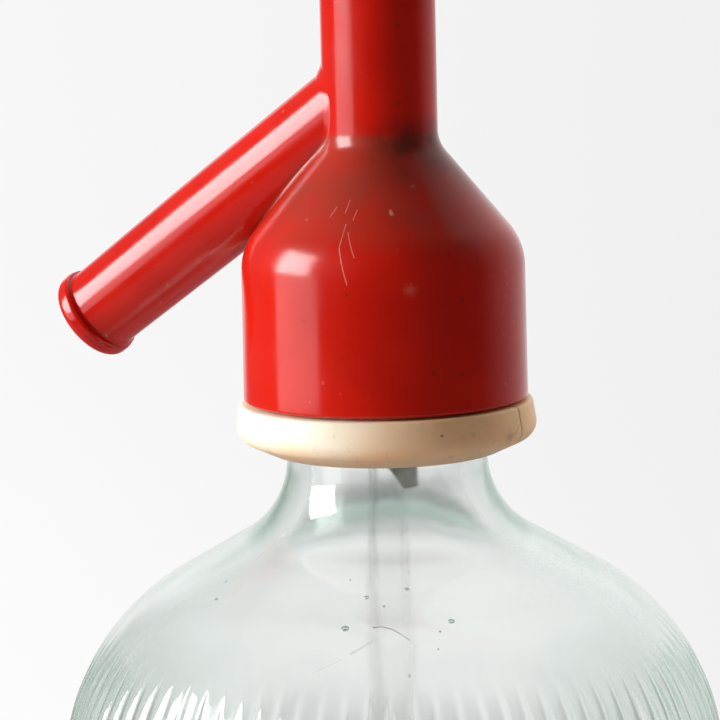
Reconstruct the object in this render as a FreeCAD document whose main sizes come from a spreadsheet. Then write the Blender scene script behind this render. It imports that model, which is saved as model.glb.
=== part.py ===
import FreeCAD, Part

import math
import os

import Sketcher

# A one-litre table soda siphon: a thick glass bottle, a split collar under its lip, and a moulded
# head with a sloping spout, a spring-closed valve in its column and a thumb lever at its top.
#
# Millimetres. The origin is the centre of the ring that the bottle stands on, +Z is up, the spout
# points towards -X and the lever towards +X. What belongs to the neck and the head is drawn with
# its heights counted from the bell's rim, and is placed at the rim's height.

document = FreeCAD.newDocument("soda_siphon")
sheet = document.addObject("Spreadsheet::Sheet", "sizes")
V_AXIS = -2
H_AXIS = -1
PARTS_FOLDER = "parts"
FLAT = "flat"


# --------------------------------------------------------------------------------------------
# Sizes: each is a cell of the sheet, and sums of them stay expressions of the sheet
# --------------------------------------------------------------------------------------------

class Size:
    """A number together with the expression of the sheet that gives it."""

    def __init__(self, value, text):
        self.value = value
        self.text = text

    def __add__(self, other):
        return Size(self.value + number(other), f"({self.text} + {words(other)})")

    def __radd__(self, other):
        return Size(number(other) + self.value, f"({words(other)} + {self.text})")

    def __sub__(self, other):
        return Size(self.value - number(other), f"({self.text} - {words(other)})")

    def __rsub__(self, other):
        return Size(number(other) - self.value, f"({words(other)} - {self.text})")

    def __mul__(self, other):
        return Size(self.value * number(other), f"({self.text} * {words(other)})")

    def __truediv__(self, other):
        return Size(self.value / number(other), f"({self.text} / {words(other)})")

    def __neg__(self):
        return Size(-self.value, f"(0 - {self.text})")


def number(size):
    return size.value if isinstance(size, Size) else float(size)


def words(size):
    return size.text if isinstance(size, Size) else str(size)


def cosine(angle):
    return Size(math.cos(math.radians(number(angle))), f"cos({words(angle)})")


def sine(angle):
    return Size(math.sin(math.radians(number(angle))), f"sin({words(angle)})")


def tangent(angle):
    return Size(math.tan(math.radians(number(angle))), f"tan({words(angle)})")


def square_root(square):
    return Size(math.sqrt(number(square)), f"sqrt({words(square)})")


rows = []


def size(alias, value, meaning):
    """Writes one driving size into the next row of the sheet."""
    rows.append(alias)
    row = len(rows)
    sheet.set(f"A{row}", meaning)
    sheet.set(f"B{row}", str(value))
    sheet.setAlias(f"B{row}", alias)
    return Size(value, f"sizes.{alias}")


# The bottle
rim_height = size("rim_height", 218.0, "bell's rim above the table")
body_r = size("body_r", 52.0, "outside of the bottle's body")
wall = size("wall", 5.0, "glass of the body and the shoulder")
neck_r = size("neck_r", 15.6, "outside of the neck")
neck_wall = size("neck_wall", 4.2, "glass of the neck")
shoulder_drop = size("shoulder_drop", 17.1, "rim down to where neck and shoulder lines meet")
shoulder_slope = size("shoulder_slope", 30.0, "degrees of the shoulder below level")
neck_round = size("neck_round", 14.5, "hollow round from neck to shoulder")
shoulder_round = size("shoulder_round", 36.0, "full round from shoulder to body")
heel_round = size("heel_round", 7.0, "round at the body's foot")
foot_ring = size("foot_ring", 3.0, "width of the flat ring the bottle stands on")
punt_height = size("punt_height", 9.0, "rise of the hollow under the base")
floor_t = size("floor_t", 6.0, "glass of the base")
punt_slope = size("punt_slope", 12.0, "width of the slope from the foot ring up to the punt")
punt_dome = size("punt_dome", 1.5, "rise of the punt's middle")
lip_low = size("lip_low", 5.5, "lip's underside above the rim")
lip_height = size("lip_height", 7.5, "height of the lip")
lip_out = size("lip_out", 2.2, "how far the lip stands out of the neck")
lip_bevel = size("lip_bevel", 1.0, "bevel of the lip's edges")

# The flutes: pressed hollows that run up the body and run out on the shoulder
flutes = size("flutes", 88, "number of flutes")
flute_depth = size("flute_depth", 0.6, "depth of a flute on the body")
flute_land = size("flute_land", 0.9, "glass left smooth between two flutes on the body")
flute_out = size("flute_out", 0.15, "cutter outside the glass")
flute_rise = size("flute_rise", 22.9, "height of the flutes' tips above the straight body")
flute_turn = size("flute_turn", 45.0, "degrees of the cutter's arc over the shoulder")
flute_foot = size("flute_foot", 16.0, "height at which the flutes start to run out")
flute_foot_r = size("flute_foot_r", 20.0, "arc of the cutter's run-out at the foot")
flute_foot_turn = size("flute_foot_turn", 20.0, "degrees of that arc")

# The split collar
neck_gap = size("neck_gap", 0.3, "collar's bore round the neck")
lip_gap = size("lip_gap", 0.3, "collar's sleeve round the lip")
sleeve_wall = size("sleeve_wall", 1.5, "collar's threaded sleeve")
sleeve_short = size("sleeve_short", 1.5, "collar's sleeve short of the lip's top")
rim_gap = size("rim_gap", 0.4, "open line between the bell's rim and the collar")
collar_ledge = size("collar_ledge", 0.65, "collar's top edge outside the bell")
collar_out = size("collar_out", 1.5, "collar's widest line outside the bell")
collar_side = size("collar_side", 5.5, "rim down to where the collar's side meets its underside")
collar_height = size("collar_height", 8.15, "rim down to the collar's foot")
collar_land = size("collar_land", 2.0, "flat foot of the collar round its bore")
collar_round = size("collar_round", 2.6, "round of the collar's lower edge")
collar_edge = size("collar_edge", 0.5, "bevel of the collar's upper edge")
parting_gap = size("parting_gap", 0.2, "open line between the collar's halves")
parting_turn = size("parting_turn", -3.3, "degrees that the collar's parting is turned")

# The head: bell, column and turret
thread_gap = size("thread_gap", 0.3, "bell round the collar's sleeve")
bell_wall = size("bell_wall", 2.2, "wall of the bell at its rim")
bell_draft = size("bell_draft", 0.2, "how far the bell's side leans in over its height")
bell_side = size("bell_side", 23.8, "height of the bell's side")
bell_round = size("bell_round", 10.0, "round of the bell's shoulder")
column_base = size("column_base", 39.5, "where the bell's cone meets the column")
column_round = size("column_round", 5.0, "hollow round at the column's base")
bore_r = size("bore_r", 6.2, "bore of the column")
column_wall = size("column_wall", 2.65, "wall of the column")
cone_wall = size("cone_wall", 2.6, "wall of the bell's cone, measured square to it")
boss_wall = size("boss_wall", 2.5, "wall of the boss inside the bell")
flange_ledge = size("flange_ledge", 2.5, "step of the bell's bore round the plug's flange")
flange_seat = size("flange_seat", 2.0, "ledge in the bell that the plug's flange bears on")
flare_height = size("flare_height", 72.0, "where the column widens into the turret")
flare_rise = size("flare_rise", 2.2, "height of that widening")
turret_step = size("turret_step", 2.4, "turret's bore wider than the column's, per side")
turret_wall = size("turret_wall", 2.4, "wall of the turret")
turret_floor_up = size("turret_floor_up", 2.5, "start of the widening up to the turret's floor")
turret_rise = size("turret_rise", 10.0, "lever's pin up to the top of the turret")

# The spout
spout_up = size("spout_up", 8.8, "column's base up to where the spout's line meets the column's")
spout_fall = size("spout_fall", 35.5, "degrees of the spout below level")
spout_length = size("spout_length", 65.4, "column's line to the spout's mouth")
spout_root_r = size("spout_root_r", 7.6, "spout at the column")
spout_tip_r = size("spout_tip_r", 6.85, "spout behind its bead")
bead_r = size("bead_r", 7.6, "bead round the mouth")
bead_width = size("bead_width", 3.2, "bead along the spout")
bead_round = size("bead_round", 1.5, "round of the bead's edges")
mouth_flare = size("mouth_flare", 0.6, "how much wider the bore is at the mouth")
spout_bore_r = size("spout_bore_r", 4.2, "bore of the spout")
spout_blend = size("spout_blend", 1.0, "hollow round where the spout leaves the head")

# The lever's place on the turret
pin_arm = size("pin_arm", 9.5, "lever's pin from the column's line")
pin_up = size("pin_up", 7.5, "turret's floor up to the lever's pin")
pin_r = size("pin_r", 1.5, "lever's pin")
pin_end = size("pin_end", 0.2, "pin out of each lug")
pin_fit = size("pin_fit", 0.03, "lugs round the pin")
turning_fit = size("turning_fit", 0.05, "lever round the pin")
lug_r = size("lug_r", 4.6, "rounded end of the lugs")
lug_flat = size("lug_flat", 0.2, "half of the straight line left at a lug's end")
lug_wall = size("lug_wall", 3.5, "thickness of a lug")
hub_width = size("hub_width", 7.6, "lever between the lugs")
hub_gap = size("hub_gap", 0.3, "lug to lever, each side")
slot_below = size("slot_below", 6.0, "turret's slot below the pin")
slot_above = size("slot_above", 5.0, "turret's slot above the pin")
slot_step = size("slot_step", 0.2, "turret's wall thicker under the slot")

# The seat plug, its seals and the tube
gasket_t = size("gasket_t", 2.5, "gasket between the lip and the plug's flange")
plug_flange_t = size("plug_flange_t", 2.8, "plug's flange")
plug_gap = size("plug_gap", 0.1, "plug in the head's bore")
plug_flange_gap = size("plug_flange_gap", 0.2, "plug's flange in the bell")
seat_up = size("seat_up", 20.5, "plug's flange up to the rim of the valve's seat")
seat_rise = size("seat_rise", 1.6, "seat's rim above the plug's top")
seat_bore_r = size("seat_bore_r", 2.4, "waterway through the seat")
seat_wall = size("seat_wall", 0.9, "rim of the seat")
nipple_length = size("nipple_length", 12.5, "nipple under the plug's flange")
water_r = size("water_r", 1.9, "waterway through the nipple")
ring_up = size("ring_up", 9.5, "plug's flange up to the middle of its ring seal")
ring_half = size("ring_half", 0.8, "half of the ring seal's height")
ring_edge = size("ring_edge", 0.3, "broken outer edges of the ring seal")
ring_room = size("ring_room", 0.2, "groove longer than the ring seal")
tube_r = size("tube_r", 3.2, "outside of the dip tube and the nipple")
tube_bore_r = size("tube_bore_r", 2.1, "bore of the dip tube")
tube_gap = size("tube_gap", 1.0, "open line between the nipple and the dip tube")
tube_foot = size("tube_foot", 2.5, "dip tube's foot above the glass")
tube_slant = size("tube_slant", 5.0, "height of the slanting cut at the tube's foot")
rubber_r = size("rubber_r", 5.1, "outside of the rubber sleeve")
rubber_grip = size("rubber_grip", 0.1, "how far the sleeve is stretched, per side")
rubber_gap = size("rubber_gap", 0.7, "sleeve's top below the plug's flange")
rubber_length = size("rubber_length", 29.1, "sleeve over the nipple and the tube")
rubber_slant = size("rubber_slant", 57.0, "degrees of the sleeve's slanting end")
rubber_turn = size("rubber_turn", 25.0, "degrees that the slanting end is turned")
rubber_land = size("rubber_land", 2.6, "width left flat at the sleeve's foot")
gasket_lap = size("gasket_lap", 0.4, "gasket short of the lip's inner and outer edges")

# The valve's moving parts, stacked on the stem
seat_gap = size("seat_gap", 0.05, "closed valve's rubber above the seat")
washer_r = size("washer_r", 4.1, "rubber disc")
washer_t = size("washer_t", 2.4, "rubber disc")
washer_cup_wall = size("washer_cup_wall", 0.6, "metal cup round the disc")
washer_show = size("washer_show", 0.8, "rubber that stands out of its cup")
screw_r = size("screw_r", 0.9, "screw through the disc")
screw_head_r = size("screw_head_r", 1.7, "head of that screw")
screw_head_t = size("screw_head_t", 1.0, "head of that screw")
screw_slot = size("screw_slot", 0.5, "slot in that screw's head")
screw_length = size("screw_length", 7.0, "screw under its head")
screw_room = size("screw_room", 0.5, "stem's hole past the screw's end")
part_fit = size("part_fit", 0.05, "pieces that are slipped on the stem, per side")
stem_r = size("stem_r", 1.6, "valve stem")
stem_foot_r = size("stem_foot_r", 3.0, "foot of the stem on the cup")
stem_foot_t = size("stem_foot_t", 4.0, "foot of the stem on the cup")
spring_length = size("spring_length", 13.2, "spring with the valve closed")
stem_collar_r = size("stem_collar_r", 3.4, "collar on the stem under the cup seal")
stem_collar_t = size("stem_collar_t", 1.5, "collar on the stem under the cup seal")
seal_t = size("seal_t", 3.5, "height of the cup seal")
seal_gap = size("seal_gap", 0.08, "cup seal in the column's bore")
seal_wall = size("seal_wall", 1.1, "lip and floor of the cup seal")
plate_gap = size("plate_gap", 0.22, "washer inside the cup seal's lip")
plate_t = size("plate_t", 1.2, "washer on the cup seal")
seal_nut_across = size("seal_nut_across", 5.5, "nut on the washer, across flats")
seal_nut_t = size("seal_nut_t", 2.0, "nut on the washer")
wire_r = size("wire_r", 0.45, "wire of the spring")
spring_inset = size("spring_inset", 0.55, "spring's middle inside the washer's edge")
spring_turns = size("spring_turns", 6.0, "turns of the spring")
bush_depth = size("bush_depth", 4.0, "guide bush below the turret's floor")
bush_gap = size("bush_gap", 0.1, "guide bush in the column's bore")
bush_flange_t = size("bush_flange_t", 2.0, "flange of the guide bush")
sliding_fit = size("sliding_fit", 0.06, "guide bush round the stem")
driver_slot = size("driver_slot", 1.4, "screwdriver slot of the guide bush")
lift_gap = size("lift_gap", 0.3, "lever's fork below the stem head")
stem_head_r = size("stem_head_r", 4.2, "stem head")
stem_head_t = size("stem_head_t", 2.5, "stem head")
locknut_across = size("locknut_across", 5.5, "locknut, across flats")
locknut_t = size("locknut_t", 1.8, "locknut")
stem_end = size("stem_end", 0.5, "stem above its locknut")

# The lever
nose_r = size("nose_r", 2.95, "rounded nose of the lever's fork")
nose_below = size("nose_below", 1.5, "middle of the nose below the pin")
nose_flat = size("nose_flat", 0.05, "half of the straight line left at the nose")
hub_r = size("hub_r", 4.2, "lever round its pin")
hub_lead = size("hub_lead", 0.5, "hub's highest point before the pin")
hub_heel = size("hub_heel", 4.5, "pin back to where the fork's arms begin")
fork_gap = size("fork_gap", 0.4, "fork round the stem, each side")
fork_depth = size("fork_depth", 1.6, "fork's slot past the stem")
lever_reach = size("lever_reach", 58.5, "pin to the tip of the thumb plate")
lever_rise = size("lever_rise", 7.6, "lever's bow above its pin")
bow_arm = size("bow_arm", 26.0, "pin to the middle of the bow")
bow_r = size("bow_r", 70.0, "bow of the lever's top")
under_bow_r = size("under_bow_r", 42.0, "bow of the lever's underside")
tip_drop = size("tip_drop", 3.5, "top of the tip below the pin")
tip_lean = size("tip_lean", 0.8, "tip's underside short of its top")
tip_round = size("tip_round", 1.2, "rounds of the tip")
plate_thick = size("plate_thick", 3.4, "thumb plate")
plate_width = size("plate_width", 17.0, "thumb plate across")
hub_round = size("hub_round", 2.0, "rounds between the hub and the fork")
web_arm = size("web_arm", 6.0, "pin to the deepest part of the arm")
web_drop = size("web_drop", 2.7, "arm's underside below the pin there")
web_round = size("web_round", 4.0, "rounds of the arm's underside")
waist_arm = size("waist_arm", 15.0, "pin to where the arm starts to widen")
waist_end = size("waist_end", 34.0, "pin to where the thumb plate has its full width")
waist_round = size("waist_round", 18.0, "rounds of the widening")
tip_square = size("tip_square", 0.3, "half of the straight line left across the tip")

# The top cap
cap_gap = size("cap_gap", 0.1, "cap's spigot in the turret")
cap_spigot = size("cap_spigot", 4.4, "cap's spigot below the turret's top")
cap_spigot_wall = size("cap_spigot_wall", 2.2, "wall of the cap's spigot")
cap_room = size("cap_room", 1.2, "turret's top up to the cap's ceiling")
cap_height = size("cap_height", 4.8, "cap above the turret")
cap_round = size("cap_round", 3.0, "round of the cap's edge")

# What many pieces share
edge = size("edge", 0.4, "broken edge of a small turned piece")
past = size("past", 1.0, "how far a cut runs past the face it starts from")

# Sizes that follow from those above: the neck and the collar
neck_bore = neck_r - neck_wall
lip_r = neck_r + lip_out
lip_top = lip_low + lip_height
sleeve_r = lip_r + lip_gap + sleeve_wall
sleeve_top = lip_top - sleeve_short

# The head's widths
bell_bore_r = sleeve_r + thread_gap
bell_r = bell_bore_r + bell_wall
bell_top_r = bell_r - bell_draft
column_r = bore_r + column_wall
turret_bore_r = bore_r + turret_step
turret_r = turret_bore_r + turret_wall
slot_width = hub_width + hub_gap * 2
lug_width = slot_width + lug_wall * 2

# The head's heights
spout_height = column_base + spout_up
turret_floor = flare_height + turret_floor_up
pin_height = turret_floor + pin_up
slot_low = pin_height - slot_below
slot_high = pin_height + slot_above
turret_top = pin_height + turret_rise

# The plug, and what it carries
plug_height = lip_top + gasket_t
plug_r = bore_r - plug_gap
flange_top = plug_height + plug_flange_t
flange_bore_r = bell_bore_r - flange_ledge
flange_r = flange_bore_r - plug_flange_gap
seat_height = plug_height + seat_up
nipple_low = plug_height - nipple_length
ring_height = plug_height + ring_up
ring_groove_r = bore_r - ring_half * 2
tube_top = nipple_low - tube_gap
rubber_top = plug_height - rubber_gap
rubber_foot = rubber_length - rubber_top

# The valve's stack, up from the seat, and the spring's, down from the guide bush
washer_low = seat_height + seat_gap
washer_top = washer_low + washer_t
washer_cup_r = washer_r + washer_cup_wall
foot_low = washer_top + washer_cup_wall
bush_low = turret_floor - bush_depth
spring_low = bush_low - spring_length
seal_nut_low = spring_low
plate_low = spring_low - plate_t
plate_r = bore_r - seal_gap - seal_wall - plate_gap
spring_r = plate_r - spring_inset
seal_low = plate_low - seal_wall
collar_low = seal_low - stem_collar_t
nose_height = pin_height - nose_below
stem_head_low = nose_height + nose_r + lift_gap
locknut_low = stem_head_low + stem_head_t
stem_top = locknut_low + locknut_t + stem_end
stem_hole_r = stem_r + part_fit


# --------------------------------------------------------------------------------------------
# Ways of making: outlines whose every corner is bound to the sheet, and what is made of them
# --------------------------------------------------------------------------------------------

def new_body(label, height=None):
    """An empty body for one piece. Pieces of the neck and the head stand at the rim's height."""
    body = document.addObject("PartDesign::Body", label)
    body.Label = label
    if height is not None:
        body.setExpression("Placement.Base.z", words(height))
    return body


def new_sketch(body, name, plane, turned=None):
    """A sketch on one of the body's own planes; turned is (height, degrees) for a tilted one."""
    sketch = body.newObject("Sketcher::SketchObject", name)
    support = [item for item in body.Origin.OriginFeatures if item.Role == plane][0]
    sketch.AttachmentSupport = (support, [""])
    sketch.MapMode = "FlatFace"
    if turned:
        height, degrees = turned
        sketch.AttachmentOffset = FreeCAD.Placement(
            FreeCAD.Vector(0, number(height), 0),
            FreeCAD.Rotation(FreeCAD.Vector(0, 0, 1), number(degrees)),
        )
        sketch.setExpression("AttachmentOffset.Base.y", words(height))
        sketch.setExpression("AttachmentOffset.Rotation.Angle", words(degrees))
    return sketch


def bind(sketch, constraint, name, size_or_number):
    """Adds a constraint with a value, and hands the value over to the sheet."""
    index = sketch.addConstraint(constraint)
    sketch.renameConstraint(index, name)
    if isinstance(size_or_number, Size):
        sketch.setExpression(f"Constraints.{name}", size_or_number.text)


def place_point(sketch, name, geometry, end, across, up):
    """Ties one point to its two sizes, or to an axis where the size is nothing."""
    if not isinstance(across, Size) and across == 0:
        sketch.addConstraint(Sketcher.Constraint("PointOnObject", geometry, end, V_AXIS))
    else:
        rule = Sketcher.Constraint("DistanceX", -1, 1, geometry, end, number(across))
        bind(sketch, rule, f"{name}_across", across)
    if not isinstance(up, Size) and up == 0:
        sketch.addConstraint(Sketcher.Constraint("PointOnObject", geometry, end, H_AXIS))
    else:
        rule = Sketcher.Constraint("DistanceY", -1, 1, geometry, end, number(up))
        bind(sketch, rule, f"{name}_up", up)


def outline(sketch, corners):
    """A closed outline of straight runs. A corner is (across, up), (across, up, round) or
    (across, up, bevel, FLAT)."""
    points = [FreeCAD.Vector(number(c[0]), number(c[1]), 0) for c in corners]
    rounds = [c[2] if len(c) > 2 else 0 for c in corners]
    flats = [len(c) > 3 for c in corners]
    count = len(points)
    leave, arrive, centres = [], [], []
    for i in range(count):
        back = (points[i - 1] - points[i]).normalize()
        ahead = (points[(i + 1) % count] - points[i]).normalize()
        half = back.getAngle(ahead) / 2
        reach = number(rounds[i]) / (1 if flats[i] else math.tan(half))
        arrive.append(points[i] + back * reach)
        leave.append(points[i] + ahead * reach)
        centres.append(points[i] + (back + ahead).normalize() * (number(rounds[i]) / math.sin(half)))
    for i in range(count):
        sketch.addGeometry(Part.LineSegment(leave[i], arrive[(i + 1) % count]), False)
    for i in range(count):
        before, after = (i - 1) % count, i
        across, up = corners[i][0], corners[i][1]
        if number(rounds[i]) == 0:
            sketch.addConstraint(Sketcher.Constraint("Coincident", before, 2, after, 1))
            place_point(sketch, f"p{i}", after, 1, across, up)
            continue
        if flats[i]:
            cut_corner(sketch, i, [before, after], [arrive[i], points[i], leave[i]], corners[i])
            continue
        start, end = arrive[i] - centres[i], leave[i] - centres[i]
        left_turn = start.cross(end).z > 0
        first, last = (start, end) if left_turn else (end, start)
        circle = Part.Circle(centres[i], FreeCAD.Vector(0, 0, 1), number(rounds[i]))
        angles = [math.atan2(first.y, first.x), math.atan2(last.y, last.x)]
        arc = sketch.addGeometry(Part.ArcOfCircle(circle, angles[0], angles[1]), False)
        joins = (1, 2) if left_turn else (2, 1)
        sketch.addConstraint(Sketcher.Constraint("Tangent", before, 2, arc, joins[0]))
        sketch.addConstraint(Sketcher.Constraint("Tangent", arc, joins[1], after, 1))
        bind(sketch, Sketcher.Constraint("Radius", arc, number(rounds[i])), f"r{i}", rounds[i])
        corner = sketch.addGeometry(Part.Point(points[i]), True)
        place_point(sketch, f"p{i}", corner, 1, across, up)
        sketch.addConstraint(Sketcher.Constraint("PointOnObject", corner, 1, before))
        sketch.addConstraint(Sketcher.Constraint("PointOnObject", corner, 1, after))
    return sketch


def cut_corner(sketch, i, lines, places, corner):
    """Bevels one corner of an outline by the same length along both of its lines."""
    before, after = lines
    bevel = sketch.addGeometry(Part.LineSegment(places[0], places[2]), False)
    sketch.addConstraint(Sketcher.Constraint("Coincident", before, 2, bevel, 1))
    sketch.addConstraint(Sketcher.Constraint("Coincident", bevel, 2, after, 1))
    tip = sketch.addGeometry(Part.Point(places[1]), True)
    place_point(sketch, f"p{i}", tip, 1, corner[0], corner[1])
    sketch.addConstraint(Sketcher.Constraint("PointOnObject", tip, 1, before))
    sketch.addConstraint(Sketcher.Constraint("PointOnObject", tip, 1, after))
    for name, line, end in (("before", before, 2), ("after", after, 1)):
        rule = Sketcher.Constraint("Distance", line, end, tip, 1, number(corner[2]))
        bind(sketch, rule, f"b{i}_{name}", corner[2])


def circle(sketch, across, up, radius):
    """A circle with its middle and radius bound to the sheet."""
    middle = FreeCAD.Vector(number(across), number(up), 0)
    round_line = Part.Circle(middle, FreeCAD.Vector(0, 0, 1), number(radius))
    geometry = sketch.addGeometry(round_line, False)
    name = f"c{geometry}"
    place_point(sketch, name, geometry, 3, across, up)
    bind(sketch, Sketcher.Constraint("Radius", geometry, number(radius)), f"{name}_r", radius)
    return sketch


def hexagon(sketch, across_flats):
    """A hexagon round the origin, two of its flats square to the sketch's first axis."""
    corner_r = across_flats / cosine(30) / 2
    half = corner_r / 2
    corners = [
        (across_flats / 2, -half),
        (across_flats / 2, half),
        (0, corner_r),
        (-across_flats / 2, half),
        (-across_flats / 2, -half),
        (0, -corner_r),
    ]
    return outline(sketch, corners)


def turned(body, name, corners, degrees=360, plane="XZ_Plane", cut=False, tilt=None, middle=False):
    """Revolves an outline, about the upright axis, or about its own first axis where tilted."""
    sketch = outline(new_sketch(body, f"{name}_outline", plane, tilt), corners)
    kind = "PartDesign::Groove" if cut else "PartDesign::Revolution"
    feature = body.newObject(kind, name)
    feature.Profile = sketch
    feature.ReferenceAxis = (sketch, ["H_Axis" if tilt else "V_Axis"])
    feature.Angle = degrees
    feature.Midplane = middle
    return feature


def pressed(body, name, sketch, length, cut=False, middle=True, reverse=False):
    """Pads a sketch, or cuts it through, by a length bound to the sheet."""
    kind = "PartDesign::Pocket" if cut else "PartDesign::Pad"
    feature = body.newObject(kind, name)
    feature.Profile = sketch
    feature.Type = "Length"
    feature.SideType = "Symmetric" if middle else "One side"
    feature.Reversed = reverse
    feature.Length = number(length)
    if isinstance(length, Size):
        feature.setExpression("Length", length.text)
    return feature


def edges_of(shape, wanted):
    """Names of a shape's edges that a test accepts."""
    return [f"Edge{i + 1}" for i, edge in enumerate(shape.Edges) if wanted(edge)]


def rounded(body, name, base, edge_names, radius):
    """Fillets edges of the feature before it."""
    feature = body.newObject("PartDesign::Fillet", name)
    feature.Base = (base, edge_names)
    feature.Radius = number(radius)
    if isinstance(radius, Size):
        feature.setExpression("Radius", radius.text)
    return feature


# --------------------------------------------------------------------------------------------
# The bottle and its collar
# --------------------------------------------------------------------------------------------

def make_bottle():
    """Thick glass: lip, neck, sloping shoulder, straight body and a hollow base."""
    body = new_body("bottle")
    turn_z = rim_height - shoulder_drop
    slope = tangent(shoulder_slope)
    inner_r = body_r - wall
    inner_turn = turn_z + neck_wall * slope - wall / cosine(shoulder_slope)
    foot_r = body_r - heel_round
    outside = [
        (0, punt_height),
        (foot_r - foot_ring - punt_slope, punt_height - punt_dome),
        (foot_r - foot_ring, 0),
        (body_r, 0, heel_round),
        (body_r, turn_z - (body_r - neck_r) * slope, shoulder_round),
        (neck_r, turn_z, neck_round),
        (neck_r, rim_height + lip_low),
        (lip_r, rim_height + lip_low, lip_bevel, FLAT),
        (lip_r, rim_height + lip_top, lip_bevel, FLAT),
        (0, rim_height + lip_top),
    ]
    turned(body, "glass", outside)
    inside = [
        (0, punt_height + floor_t),
        (inner_r, floor_t + past, heel_round + wall),
        (inner_r, inner_turn - (inner_r - neck_bore) * slope, shoulder_round - wall),
        (neck_bore, inner_turn, neck_round + neck_wall),
        (neck_bore, rim_height + lip_top + past),
        (0, rim_height + lip_top + past),
    ]
    turned(body, "hollow", inside, cut=True)
    add_flutes(body, turn_z - (body_r - neck_r) * slope)
    return body


def add_flutes(body, shoulder_z):
    """V-shaped flutes, straight up the body. Over the shoulder they follow a flatter arc than
    its own, and at the foot an arc that turns outwards, so both ends run out in a point."""
    straight_z = shoulder_z - shoulder_round * tangent((90 - shoulder_slope) / 2)
    bottom = body_r - flute_depth
    rise_square = flute_rise * flute_rise
    lean_in = shoulder_round - square_root(shoulder_round * shoulder_round - rise_square)
    drop = lean_in - flute_depth
    shoulder_arc_r = (rise_square + drop * drop) / (drop * 2)
    top = flute_section(body, "flute_top", straight_z, bottom - shoulder_arc_r)
    foot = flute_section(body, "flute_foot_section", flute_foot, bottom + flute_foot_r)
    cuts = [
        pressed(body, "flute_straight", top, straight_z - flute_foot, cut=True, middle=False),
        swept_cut(body, "flute_shoulder", top, flute_turn),
        swept_cut(body, "flute_foot_end", foot, flute_foot_turn),
    ]
    pattern = body.newObject("PartDesign::PolarPattern", "flutes")
    pattern.Originals = cuts
    pattern.Axis = (top, ["N_Axis"])
    pattern.Angle = 360
    pattern.Occurrences = int(number(flutes))
    pattern.setExpression("Occurrences", flutes.text)
    body.Tip = pattern


def flute_section(body, name, height, axis_x):
    """The V of a flute, level at a height, with the line that its end is swept about."""
    pitch = body_r * 2 * math.pi / flutes
    bottom = body_r - flute_depth
    outer = body_r + flute_out
    outer_half = (pitch - flute_land) / 2 * (flute_depth + flute_out) / flute_depth
    sketch = new_sketch(body, name, "XY_Plane")
    sketch.AttachmentOffset = FreeCAD.Placement(
        FreeCAD.Vector(0, 0, number(height)), FreeCAD.Rotation()
    )
    sketch.setExpression("AttachmentOffset.Base.z", words(height))
    outline(sketch, [(bottom, 0), (outer, -outer_half), (outer, outer_half)])
    ends = [FreeCAD.Vector(number(axis_x), number(y), 0) for y in (-outer_half, outer_half)]
    axis = sketch.addGeometry(Part.LineSegment(*ends), True)
    place_point(sketch, "axis_start", axis, 1, axis_x, -outer_half)
    place_point(sketch, "axis_end", axis, 2, axis_x, outer_half)
    return sketch


def swept_cut(body, name, sketch, degrees):
    """Sweeps a flute's V about the line beside it."""
    feature = body.newObject("PartDesign::Groove", name)
    feature.Profile = sketch
    feature.ReferenceAxis = (sketch, ["Axis0"])
    feature.Angle = number(degrees)
    feature.setExpression("Angle", degrees.text)
    feature.Reversed = True
    return feature


def make_collar_half(label, half_turn):
    """Half of the collar: flange below the bell, sleeve with its bearing step under the lip."""
    body = new_body(label, rim_height)
    bore_radius = neck_r + neck_gap
    recess_r = lip_r + lip_gap
    profile = [
        (bore_radius, -collar_height),
        (bore_radius + collar_land, -collar_height),
        (bell_r + collar_out, -collar_side, collar_round),
        (bell_r + collar_ledge, -rim_gap, collar_edge, FLAT),
        (sleeve_r, -rim_gap),
        (sleeve_r, sleeve_top, edge, FLAT),
        (recess_r, sleeve_top),
        (recess_r, lip_low),
        (bore_radius, lip_low),
    ]
    turned(body, "half_ring", profile, degrees=180, plane="YZ_Plane", middle=True)
    turn = parting_turn + half_turn
    body.Placement = FreeCAD.Placement(
        FreeCAD.Vector(0, 0, number(rim_height)),
        FreeCAD.Rotation(FreeCAD.Vector(0, 0, 1), number(turn)),
    )
    body.setExpression("Placement.Base.z", rim_height.text)
    body.setExpression("Placement.Base.x", words(-sine(turn) * parting_gap / 2))
    body.setExpression("Placement.Base.y", words(cosine(turn) * parting_gap / 2))
    body.setExpression("Placement.Rotation.Angle", words(turn))
    return body


def make_lip_gasket():
    """Flat ring between the glass lip and the plug's flange."""
    body = new_body("lip_gasket", rim_height)
    inner = neck_bore + gasket_lap
    profile = [
        (inner, lip_top),
        (lip_r - gasket_lap, lip_top),
        (lip_r - gasket_lap, plug_height),
        (inner, plug_height),
    ]
    turned(body, "ring", profile)
    return body


# --------------------------------------------------------------------------------------------
# The moulded head
# --------------------------------------------------------------------------------------------

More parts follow.
